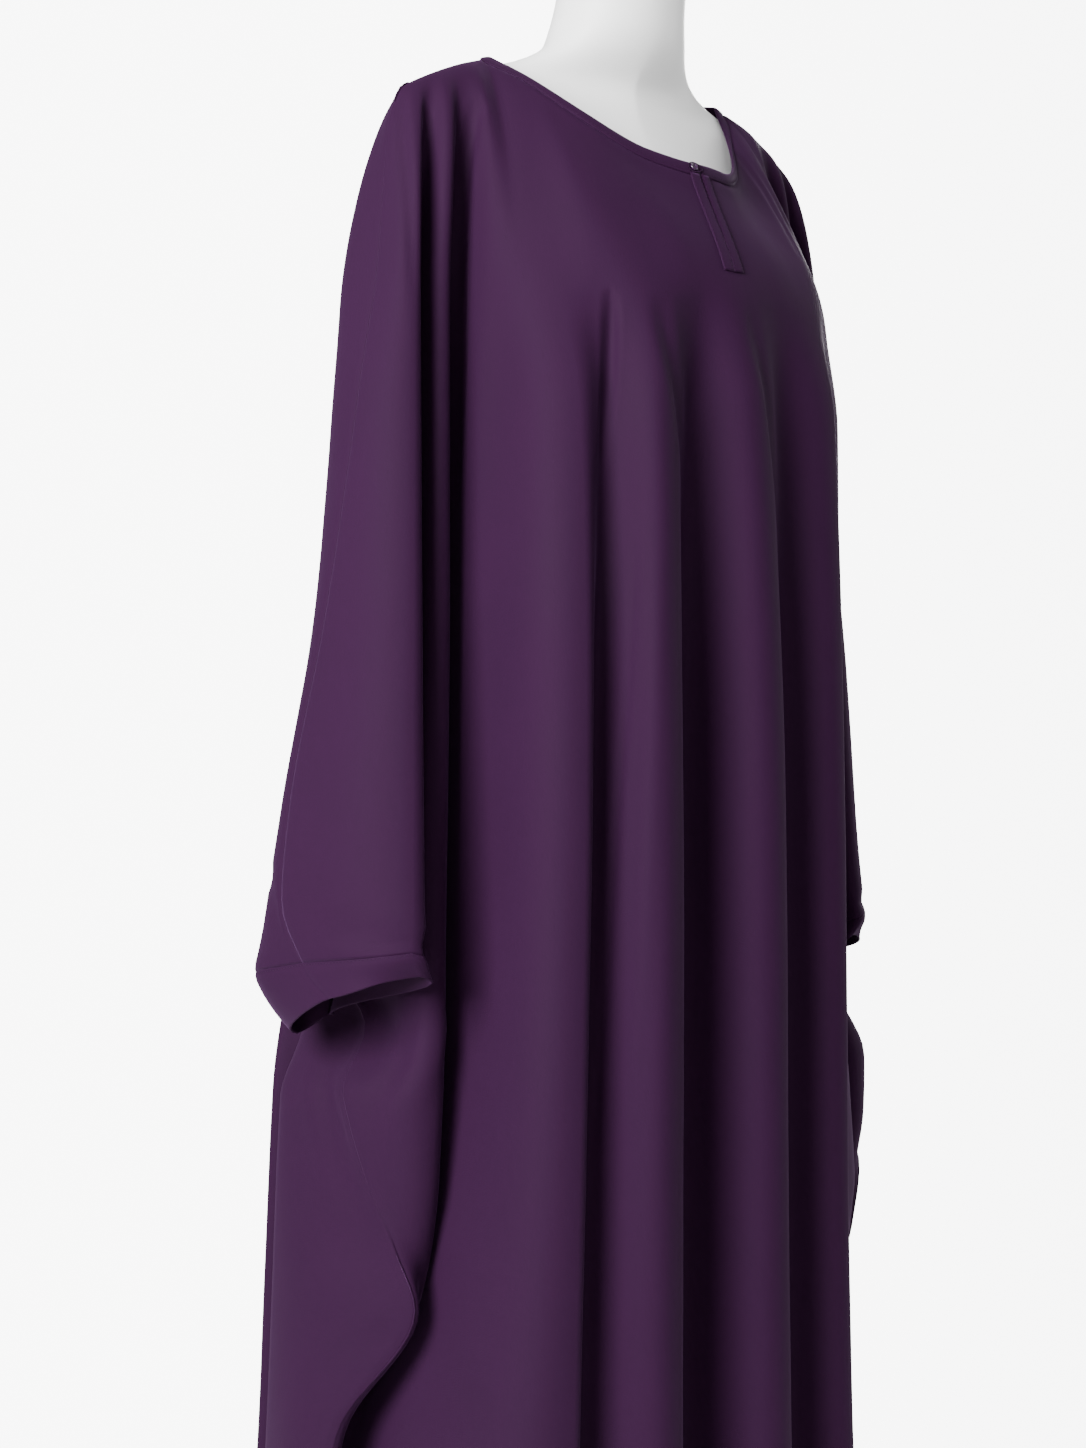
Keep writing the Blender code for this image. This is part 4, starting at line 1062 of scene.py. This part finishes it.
@dataclass
class PlacketStrip:
    """A strip that finishes one edge of the neck slit. The left one reaches under the right edge."""

    side: Side
    wall: float = 0.0008
    lift: float = 0.0009
    left_share: float = 0.7
    pad: float = 0.0003
    pad_edge: float = 0.16
    swell_share: float = 0.3
    underlap: float = 0.0045
    drop: float = 0.0030
    fade: float = 3.0
    width: float = 0.011
    rail: float = 0.13
    across: int = 8
    down: int = 48

    @property
    def name(self) -> str:
        """Name of the strip's piece."""
        return f"placket_cloth_{self.side.name.lower()}"

    def point(self, away: float, level: float) -> Vector:
        """Point of the strip, from the slit (away 0) to its outer edge (away 1).

        The left strip is the narrower one.
        """
        away *= self.left_share if self.side is Side.LEFT else 1.0
        line = stations_of(Panel.FRONT)
        middle = next(k for k, s in enumerate(line) if s.place == 0.0)
        if self.side is Side.LEFT:
            column = Column(line[middle], line[middle + 1], away * STRIP_SPAN, Panel.FRONT)
        else:
            column = Column(line[middle - 1], line[middle], 1.0 - away * STRIP_SPAN, Panel.FRONT)
        point = column.point(level)
        open_share = max(1.0 - level / SLIT_END, 0.0)
        point.x += self.side.value * SLIT_HALF_GAP * open_share * (1.0 - away)
        return point

    def build(self) -> Sheet:
        """Lay the strip's grid beside the slit."""
        mesh, cell = flat_grid(self.across, self.down)
        sheet = Sheet(self.name, mesh)
        facts = []
        for vertex in mesh.verts:
            k, row = cell(vertex)
            share = k / self.across
            away = share if self.side is Side.LEFT else 1.0 - share
            level = STRIP_END * row / self.down
            edge = min(away, 1.0 - away)
            point = self.point(away, level)
            height = self.pad * (1.0 - math.exp(-(edge / self.pad_edge) ** 2))
            height += self.swell_share * swell_at(point)
            if k == 0 and self.side is Side.LEFT:
                under = min(max(self.fade * (1.0 - level / SLIT_END), 0.0), 1.0)
                point.x -= self.underlap * under
                height -= self.drop * under
            sheet.heights.append(height)
            sheet.threads.append(Vector((share * self.width, level * self.rail)))
            sheet.places.append(0.0)
            facts.append((vertex, point))
        for vertex, point in facts:
            vertex.co = point
        sheet.settle()
        return sheet


@dataclass
class StitchRow:
    """A row of small stitches along a line on the cloth."""

    pitch: float = 0.0030
    length: float = 0.0021
    radius: float = 0.00020
    sunk: float = 0.4
    cuff_share: float = 0.06
    binding_share: float = 0.84
    strip_shares: tuple[float, ...] = (0.12, 0.88)
    strip_steps: int = 60
    strip_clear: int = 3

    def sew(self, mesh: bmesh.types.BMesh, line: Sequence[Vector], surface: BVHTree) -> None:
        """Add stitches to a mesh.

        Args:
            mesh: The mesh that collects the stitches.
            line: Points that the row follows.
            surface: The cloth that it lies on.
        """
        travelled = 0.0
        for a, b in zip(line, line[1:]):
            reach = (b - a).length
            while travelled < reach:
                self.stitch(mesh, a.lerp(b, travelled / reach), (b - a) / reach, surface)
                travelled += self.pitch
            travelled -= reach

    def stitch(self, mesh: bmesh.types.BMesh, spot: Vector, along: Vector, surface: BVHTree) -> None:
        """Add one stitch, half sunk into the cloth."""
        place, normal, _, _ = surface.find_nearest(spot)
        along = (along - normal * along.dot(normal)).normalized()
        turn = Matrix((along, normal.cross(along), normal)).transposed().to_4x4()
        size = Matrix.Diagonal((self.length / 2.0, self.radius, self.radius, 1.0))
        move = Matrix.Translation(place + normal * self.sunk * self.radius)
        bmesh.ops.create_icosphere(mesh, subdivisions=1, radius=1.0, matrix=move @ turn @ size)


def middle_of(node: str) -> Vector:
    """Middle of a CAD node's box."""
    low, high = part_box(node)
    return (low + high) / 2.0


@dataclass
class Fastening:
    """The small button on the binding, and the thread loop that lies round it."""

    surface: BVHTree
    radius: float = 0.0030
    depth: float = 0.0020
    drop: Vector = field(default_factory=lambda: Vector((0.0, -0.0015, -0.0038)))
    loop_near: float = 0.0040
    loop_far: float = 0.0075
    strand: float = 0.00042
    overlap: float = 0.56
    stand: float = 0.8
    waver: float = 0.00008
    steps: int = 44
    button_steps: int = 40

    def axes(self) -> tuple[Vector, Vector, Vector, Vector]:
        """The button's place on the cloth, and its outward, along and across directions."""
        seat, outward, _, _ = self.surface.find_nearest(middle_of("button") + self.drop)
        along = middle_of("button_loop") - middle_of("button")
        along = (along - outward * along.dot(outward)).normalized()
        return seat, outward, along, outward.cross(along)

    def button(self) -> bpy.types.Object:
        """Turn the button: a rounded rim, a shallow dish and a raised centre."""
        seat, outward, along, across = self.axes()
        profile = ((0.0, 0.55), (0.16, 0.60), (0.30, 0.52), (0.45, 0.50), (0.62, 0.72), (0.78, 0.95),
                   (0.90, 0.92), (0.98, 0.70), (1.0, 0.45), (0.95, 0.20), (0.80, 0.05), (0.0, 0.0))
        mesh = spun([(r * self.radius, h * self.depth) for r, h in profile], self.button_steps)
        bmesh.ops.recalc_face_normals(mesh, faces=mesh.faces)
        turn = Matrix((along, across, outward)).transposed().to_4x4()
        bmesh.ops.transform(mesh, matrix=Matrix.Translation(seat) @ turn, verts=mesh.verts)
        return as_object("button_turned", mesh)

    def loop(self) -> bpy.types.Object:
        """Wind the loop: short turns of thread side by side round a core."""
        seat, outward, along, across = self.axes()
        mesh = bmesh.new()
        path = []
        for k in range(self.steps):
            turn = math.tau * k / self.steps
            reach = self.loop_far if math.cos(turn) > 0 else self.loop_near
            path.append(seat + along * reach * math.cos(turn) + across * self.loop_near * math.sin(turn))
        for k, spot in enumerate(path):
            way = (path[(k + 1) % self.steps] - path[k - 1])
            pitch = way.length / 2.0
            way.normalize()
            turn = Matrix((way, outward.cross(way), outward)).transposed().to_4x4()
            size = Matrix.Diagonal((pitch * self.overlap, self.strand, self.strand, 1.0))
            lift = self.strand * self.stand + self.waver * math.sin(7.0 * k)
            move = Matrix.Translation(spot + outward * lift)
            bmesh.ops.create_icosphere(mesh, subdivisions=2, radius=1.0, matrix=move @ turn @ size)
        return as_object("button_loop_thread", mesh)


@dataclass
class DressForm:
    """The limbless form with its pole and its round base."""

    inset: float = 0.0018
    around: int = 112
    rows: int = 110
    pole_radius: float = 0.016
    base_radius: float = 0.150
    base_height: float = 0.012
    end_round: float = 0.004
    edge_round: float = 0.0010
    sharp_turn: float = 0.6

    def section(self, z: float, turn: float) -> Vector:
        """Point of the torso at a level and a turn round it."""
        middle = curve(FORM_SECTIONS, "z", "y", z)
        wide = curve(FORM_SECTIONS, "z", "half_width", z) - self.inset
        deep = curve(FORM_SECTIONS, "z", "half_depth", z) - self.inset
        power = 2.0 / curve(FORM_SECTIONS, "z", "roundness", z)
        x = math.copysign(abs(math.cos(turn)) ** power, math.cos(turn))
        y = math.copysign(abs(math.sin(turn)) ** power, math.sin(turn))
        return Vector((AXIS_X + wide * x, middle + deep * y, z))

    def torso(self) -> bpy.types.Object:
        """Loft the torso and the neck, closed at both ends."""
        low, high = FORM_SECTIONS[0].z, FORM_SECTIONS[-1].z
        mesh, cell = flat_grid(self.around, self.rows)
        moved = [(v, *cell(v)) for v in mesh.verts]
        for vertex, k, row in moved:
            z = high + (low - high) * row / self.rows
            vertex.co = self.section(z, math.tau * k / self.around)
        bmesh.ops.remove_doubles(mesh, verts=mesh.verts, dist=MERGE)
        rims = [e for e in mesh.edges if e.is_boundary]
        bmesh.ops.holes_fill(mesh, edges=rims)
        caps = [e for e in mesh.edges if any(len(f.verts) > 4 for f in e.link_faces)]
        round_edges(mesh, caps, self.end_round)
        return as_object("form_torso_smooth", mesh)

    def turned(self, name: str, profile: Sequence[tuple[float, float]], sides: int) -> bpy.types.Object:
        """Spin a profile of (radius, height) round the form's axis."""
        mesh = spun(profile, sides)
        sharp = [e for e in mesh.edges if len(e.link_faces) == 2 and e.calc_face_angle(0.0) > self.sharp_turn]
        round_edges(mesh, sharp, self.edge_round)
        bmesh.ops.translate(mesh, verts=mesh.verts, vec=(AXIS_X, FORM_SECTIONS[0].y, 0.0))
        return as_object(name, mesh)

    def pole(self) -> bpy.types.Object:
        """The pole, with a collar at its foot."""
        _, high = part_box("form_pole")
        r, foot = self.pole_radius, self.base_height + 0.0004
        profile = ((0.0, foot), (r + 0.008, foot), (r + 0.008, foot + 0.012), (r, foot + 0.016),
                   (r, high.z), (0.0, high.z))
        return self.turned("form_pole_turned", profile, 64)

    def base(self) -> bpy.types.Object:
        """The round base plate."""
        profile = ((0.0, 0.0), (self.base_radius, 0.0), (self.base_radius, self.base_height),
                   (0.0, self.base_height))
        return self.turned("form_base_turned", profile, 128)


class Value:
    """A shader value. Sums of values and numbers become Math nodes."""

    def __init__(self, graph: "Graph", output: bpy.types.NodeSocket) -> None:
        """Hold an output of a node of the graph."""
        self.graph = graph
        self.output = output

    def __add__(self, other: Any) -> "Value":
        """This value plus another."""
        return self.graph.maths("ADD", self, other)

    def __sub__(self, other: Any) -> "Value":
        """This value less another."""
        return self.graph.maths("SUBTRACT", self, other)

    def __rsub__(self, other: Any) -> "Value":
        """A number less this value."""
        return self.graph.maths("SUBTRACT", other, self)

    def __mul__(self, other: Any) -> "Value":
        """This value times another."""
        return self.graph.maths("MULTIPLY", self, other)

    def __pow__(self, other: Any) -> "Value":
        """This value to a power."""
        return self.graph.maths("POWER", self, other)

    __radd__ = __add__
    __rmul__ = __mul__


class Graph:
    """The node tree of one material or of the world."""

    def __init__(self, owner: Any) -> None:
        """Empty the owner's node tree."""
        owner.use_nodes = True
        self.tree = owner.node_tree
        self.tree.nodes.clear()

    def node(self, kind: str, settings: dict[str, Any], sockets: dict[str, Any], out: str = "") -> Value:
        """Add a node.

        Args:
            kind: Its type.
            settings: Its own settings, set first.
            sockets: Values or constants for its inputs, by identifier.
            out: Identifier of the output to hand back, or the first one.

        Returns:
            That output, as a value.
        """
        made = self.tree.nodes.new(kind)
        for name, value in settings.items():
            setattr(made, name, value)
        for name, value in sockets.items():
            socket = next(s for s in made.inputs if s.identifier == name)
            if isinstance(value, Value):
                self.tree.links.new(value.output, socket)
            else:
                socket.default_value = value
        chosen = next((s for s in made.outputs if s.identifier == out), None)
        return Value(self, chosen or next(iter(made.outputs), None))

    def maths(self, operation: str, a: Any, b: Any) -> Value:
        """One Math node."""
        return self.node("ShaderNodeMath", {"operation": operation}, {"Value": a, "Value_001": b})

    def coords(self) -> Value:
        """Object coordinates, in metres."""
        return self.node("ShaderNodeTexCoord", {}, {}, "Object")

    def threads(self) -> Value:
        """The cloth's own flat coordinates, in metres along its threads."""
        return self.node("ShaderNodeUVMap", {"uv_map": "threads"}, {})

    def scaled(self, vector: Value, scale: Sequence[float]) -> Value:
        """A vector scaled on each axis."""
        return self.node("ShaderNodeMapping", {}, {"Vector": vector, "Scale": tuple(scale)})

    def speckle(self, vector: Value, scale: float, detail: float = 2.0) -> Value:
        """Soft noise from 0 to 1."""
        return self.node("ShaderNodeTexNoise", {}, {"Vector": vector, "Scale": scale, "Detail": detail})

    def mixed(self, share: Any, a: Sequence[float], b: Sequence[float]) -> Value:
        """A colour between two colours."""
        colours = {"Factor_Float": share, "A_Color": (*a, 1.0), "B_Color": (*b, 1.0)}
        return self.node("ShaderNodeMix", {"data_type": "RGBA"}, colours, "Result_Color")

    def bump(self, height: Value, distance: float, strength: float) -> Value:
        """A normal from a height."""
        return self.node("ShaderNodeBump", {},
                         {"Height": height, "Distance": distance, "Strength": strength})

    def surface(self, sockets: dict[str, Any]) -> None:
        """End the material in one Principled surface."""
        shader = self.node("ShaderNodeBsdfPrincipled", {}, sockets)
        self.node("ShaderNodeOutputMaterial", {}, {"Surface": shader})


@dataclass(frozen=True)
class Crepe:
    """Matt crepe with a soft sheen."""

    name: str = "plum_crepe_cloth"
    slot: str = "plum_crepe"
    deep: tuple[float, float, float] = (0.0128, 0.0019, 0.0142)
    light: tuple[float, float, float] = (0.0180, 0.0029, 0.0194)
    roughness: float = 0.78

    def make(self) -> bpy.types.Material:
        """Build the material."""
        made = bpy.data.materials.new(self.name)
        graph = Graph(made)
        cloth = graph.threads()
        pebble = graph.speckle(graph.scaled(cloth, (1100.0, 900.0, 1.0)), 1.0, 1.0)
        rib = graph.speckle(graph.scaled(cloth, (420.0, 60.0, 1.0)), 1.0, 1.0)
        tone = graph.speckle(graph.coords(), 14.0)
        grain = 0.62 * pebble + 0.38 * rib
        graph.surface({
            "Base Color": graph.mixed(0.55 * tone + 0.45 * grain, self.deep, self.light),
            "Roughness": self.roughness + 0.10 * (tone - 0.5) + 0.08 * (pebble - 0.5),
            "Normal": graph.bump(grain, 0.00022, 0.55),
            "Sheen Weight": 0.05, "Sheen Roughness": 0.45, "Sheen Tint": (0.80, 0.35, 0.95, 1.0),
            "Specular IOR Level": 0.09})
        return made


@dataclass(frozen=True)
class Thread:
    """Sewing thread in the cloth's own colour."""

    name: str = "plum_sewing_thread"
    slot: str = "plum_thread"
    colour: tuple[float, float, float] = (0.0120, 0.0016, 0.0140)

    def make(self) -> bpy.types.Material:
        """Build the material."""
        made = bpy.data.materials.new(self.name)
        graph = Graph(made)
        twist = graph.speckle(graph.coords(), 3000.0, 1.0)
        bright = tuple(1.5 * c for c in self.colour)
        graph.surface({"Base Color": graph.mixed(twist, self.colour, bright),
                       "Roughness": 0.62 + 0.15 * twist, "Specular IOR Level": 0.15})
        return made


@dataclass(frozen=True)
class Shell:
    """The button's glossy plum."""

    name: str = "plum_button"
    slot: str = "button_shell"
    colour: tuple[float, float, float] = (0.018, 0.004, 0.022)

    def make(self) -> bpy.types.Material:
        """Build the material."""
        made = bpy.data.materials.new(self.name)
        graph = Graph(made)
        cloud = graph.speckle(graph.coords(), 600.0)
        bright = tuple(1.8 * c for c in self.colour)
        graph.surface({"Base Color": graph.mixed(cloud, self.colour, bright),
                       "Roughness": 0.16 + 0.12 * cloud, "Coat Weight": 0.5, "Coat Roughness": 0.08})
        return made


@dataclass(frozen=True)
class FormWhite:
    """The form's eggshell white."""

    name: str = "form_eggshell"
    slot: str = "form_white"
    colour: tuple[float, float, float] = (0.92, 0.92, 0.92)

    def make(self) -> bpy.types.Material:
        """Build the material."""
        made = bpy.data.materials.new(self.name)
        graph = Graph(made)
        cloud = graph.speckle(graph.coords(), 9.0)
        skin = graph.speckle(graph.coords(), 900.0)
        darker = tuple(0.95 * c for c in self.colour)
        graph.surface({"Base Color": graph.mixed(cloud, self.colour, darker),
                       "Roughness": 0.40 + 0.12 * cloud, "Normal": graph.bump(skin, 0.00006, 0.4)})
        return made


@dataclass(frozen=True)
class Steel:
    """Brushed steel."""

    name: str = "stand_brushed_steel"
    slot: str = "stand_steel"

    def make(self) -> bpy.types.Material:
        """Build the material."""
        made = bpy.data.materials.new(self.name)
        graph = Graph(made)
        brush = graph.speckle(graph.scaled(graph.coords(), (900.0, 900.0, 12.0)), 1.0)
        graph.surface({"Base Color": graph.mixed(brush, (0.52, 0.53, 0.54), (0.62, 0.62, 0.63)),
                       "Roughness": 0.28 + 0.14 * brush, "Metallic": 1.0,
                       "Normal": graph.bump(brush, 0.00004, 0.3)})
        return made


@dataclass(frozen=True)
class Lamp:
    """A soft area light, placed by its angle from the camera's line, its height and its distance."""

    name: str
    azimuth: float
    distance: float
    height: float
    size: float
    power: float
    aim: float = 0.95


class Studio:
    """The pale floor, the soft lights, the white world and the camera."""

    camera_turn = math.radians(40.0)
    camera_reach = 1.70
    camera_height = 0.962
    frame_width, frame_height = 1086.0, 1448.0
    focal_pixels = 2312.0
    axis_pixel = 622.0        # where the camera's line crosses the photo, from its left edge
    film = 36.0
    floor_radius = 1.28
    seen_strength, lit_strength = 9.0, 0.50
    lamps = (
        Lamp("key", -33.0, 2.4, 1.8, 1.5, 235.0),
        Lamp("fill", 14.0, 2.9, 1.5, 1.6, 16.0),
        Lamp("side_light", 112.0, 2.6, 1.6, 1.6, 22.0),
        Lamp("back_light", 172.0, 2.5, 1.8, 1.6, 130.0))

    def build(self) -> None:
        """Make everything that isn't part of the object."""
        self.floor()
        for lamp in self.lamps:
            self.lamp(lamp)
        self.world()
        self.camera()

    def ground(self, azimuth: float, distance: float) -> Vector:
        """Point of the floor at an angle from the camera's line."""
        turn = math.radians(azimuth)
        away = Vector((-math.sin(self.camera_turn), -math.cos(self.camera_turn), 0.0))
        return Matrix.Rotation(turn, 3, "Z") @ away * distance

    def floor(self) -> None:
        """A plain pale floor."""
        mesh = bmesh.new()
        bmesh.ops.create_circle(mesh, cap_ends=True, segments=128, radius=self.floor_radius)
        made = as_object("floor", mesh, False)
        finish = bpy.data.materials.new("pale_floor")
        Graph(finish).surface({"Base Color": (0.80, 0.80, 0.80, 1.0), "Roughness": 0.8})
        made.data.materials.append(finish)

    def lamp(self, lamp: Lamp) -> None:
        """One soft light, turned to the garment."""
        light = bpy.data.lights.new(lamp.name, "AREA")
        light.shape = "DISK"
        light.size = lamp.size
        light.energy = lamp.power
        made = bpy.data.objects.new(lamp.name, light)
        made.location = self.ground(lamp.azimuth, lamp.distance) + Vector((0.0, 0.0, lamp.height))
        aim = Vector((0.0, 0.0, lamp.aim)) - made.location
        made.rotation_euler = aim.to_track_quat("-Z", "Y").to_euler()
        bpy.context.scene.collection.objects.link(made)

    def world(self) -> None:
        """White for the camera, fading to a light grey on one side as painted shade, and a softer light for
        the cloth.
        """
        world = bpy.data.worlds.new("studio")
        bpy.context.scene.world = world
        graph = Graph(world)
        way = graph.node("ShaderNodeTexCoord", {}, {})
        right = (math.cos(self.camera_turn), -math.sin(self.camera_turn), 0.0)
        side = graph.node("ShaderNodeVectorMath", {"operation": "DOT_PRODUCT"},
                          {"Vector": way, "Vector_001": right}, "Value")
        # Painted shade: the backdrop that the camera sees turns from white to a light grey towards one side,
        # standing in for less light falling there.
        fade = graph.node("ShaderNodeMapRange", {}, {
            "Value": side, "From Min": -0.10, "From Max": 0.34, "To Min": 0.0, "To Max": 1.0})
        painted_shade_backdrop = graph.mixed(fade, (0.96, 0.96, 0.96), (0.80, 0.80, 0.81))
        shown = graph.node("ShaderNodeBackground", {}, {"Color": painted_shade_backdrop, "Strength": self.seen_strength})
        white = (1.0, 1.0, 1.0, 1.0)
        lit = graph.node("ShaderNodeBackground", {}, {"Color": white, "Strength": self.lit_strength})
        ray = graph.node("ShaderNodeLightPath", {}, {}, "Is Camera Ray")
        both = graph.node("ShaderNodeMixShader", {}, {"Fac": ray, "Shader": lit, "Shader_001": shown})
        graph.node("ShaderNodeOutputWorld", {}, {"Surface": both})

    def camera(self) -> None:
        """The camera at the photo's angle."""
        lens = bpy.data.cameras.new("photo_view")
        lens.sensor_width = self.film
        lens.lens = self.focal_pixels * self.film / self.frame_height
        lens.shift_x = (self.frame_width / 2.0 - self.axis_pixel) / self.frame_height
        made = bpy.data.objects.new("photo_view", lens)
        made.location = self.ground(0.0, self.camera_reach) + Vector((0.0, 0.0, self.camera_height))
        made.rotation_euler = (math.pi / 2.0, 0.0, -self.camera_turn)
        bpy.context.scene.collection.objects.link(made)
        bpy.context.scene.camera = made


@dataclass(frozen=True)
class Cut:
    """The flat cut of a piece of cloth: its width, its length and its area."""

    width: float
    length: float
    area: float


class Abaya:
    """The whole garment: panels, cuffs, binding, placket, fastening and stitches."""

    def __init__(self, crepe: bpy.types.Material, thread: bpy.types.Material,
                 shell: bpy.types.Material) -> None:
        """Keep the finishes and start with no pieces."""
        self.crepe = crepe
        self.thread = thread
        self.shell = shell
        self.made: dict[str, bpy.types.Object] = {}

    def keep(self, made: bpy.types.Object, node: Optional[str], finish: bpy.types.Material,
             slot: str) -> None:
        """Keep a piece of the garment, by its node where it has one."""
        keep_piece(made, node, finish, slot)
        if node:
            self.made[node] = made

    def build(self, form: str) -> None:
        """Build every piece.

        Args:
            form: Name of the torso that the cloth hangs on. It is not used.
        """
        front = ClothPanel(Panel.FRONT, "front_cloth").build()
        back = ClothPanel(Panel.BACK, "back_cloth").build()
        cuffs = {side: Cuff(side) for side in (Side.RIGHT, Side.LEFT)}
        bands = {side: cuff.build() for side, cuff in cuffs.items()}
        join_normals([front, back, *bands.values()])
        binding = Binding()
        neck = binding.build()
        strips = [PlacketStrip(side) for side in (Side.RIGHT, Side.LEFT)]
        self.keep(front.finish(CLOTH), "front", self.crepe, Crepe.slot)
        self.keep(back.finish(CLOTH), "back", self.crepe, Crepe.slot)
        for side, band in bands.items():
            node = f"cuff_{side.name.lower()}"
            self.keep(band.finish(cuffs[side].wall), node, self.crepe, Crepe.slot)
        self.keep(neck.finish(binding.wall, binding.rise), "neck_binding", self.crepe, Crepe.slot)
        edges = []
        for strip in strips:
            sheet = strip.build()
            node = f"placket_{strip.side.name.lower()}"
            self.keep(sheet.finish(strip.wall, strip.lift), node, self.crepe, Crepe.slot)
            edges.append((strip, sheet))
        stitches = self.stitches(front, back, cuffs, bands, binding, neck, edges)
        self.keep(stitches, None, self.thread, Thread.slot)
        fastening = Fastening(neck.surface())
        self.keep(fastening.button(), "button", self.shell, Shell.slot)
        self.keep(fastening.loop(), "button_loop", self.thread, Thread.slot)

    def stitches(self, front: Sheet, back: Sheet, cuffs: dict[Side, Cuff], bands: dict[Side, Sheet],
                 binding: Binding, neck: Sheet,
                 edges: Sequence[tuple[PlacketStrip, Sheet]]) -> bpy.types.Object:
        """Sew the rows that show: hem, cuffs, binding and placket."""
        mesh = bmesh.new()
        row = StitchRow()
        for panel, sheet in ((Panel.FRONT, front), (Panel.BACK, back)):
            inner = [c for c in columns_of(panel) if abs(c.place) < SIDE_SEAM_PLACE]
            row.sew(mesh, [c.at_level(HEM_Z + HEM_DEPTH) for c in inner], sheet.surface())
        for side, cuff in cuffs.items():
            row.sew(mesh, cuff.seam_line(row.cuff_share), bands[side].surface())
        row.sew(mesh, binding.seam_line(row.binding_share), neck.surface())
        steps = range(row.strip_clear, row.strip_steps - 1)
        for strip, sheet in edges:
            tree = sheet.surface()
            for away in row.strip_shares:
                line = [strip.point(away, STRIP_END * k / row.strip_steps) for k in steps]
                row.sew(mesh, line, tree)
        return as_object("stitches", mesh)


def main() -> None:
    """Build the form, the garment and the studio, and report each piece."""
    logging.basicConfig(level=logging.INFO, format="%(name)s: %(message)s")
    white, steel = FormWhite(), Steel()
    form = DressForm()
    finishes = {white.slot: white.make(), steel.slot: steel.make()}
    parts = ((form.torso(), "form_torso", white.slot), (form.pole(), "form_pole", steel.slot),
             (form.base(), "form_base", steel.slot))
    for made, node, slot in parts:
        keep_piece(made, node, finishes[slot], slot)
    Abaya(Crepe().make(), Thread().make(), Shell().make()).build(parts[0][0].name)
    Studio().build()


if __name__ == "__main__":
    main()
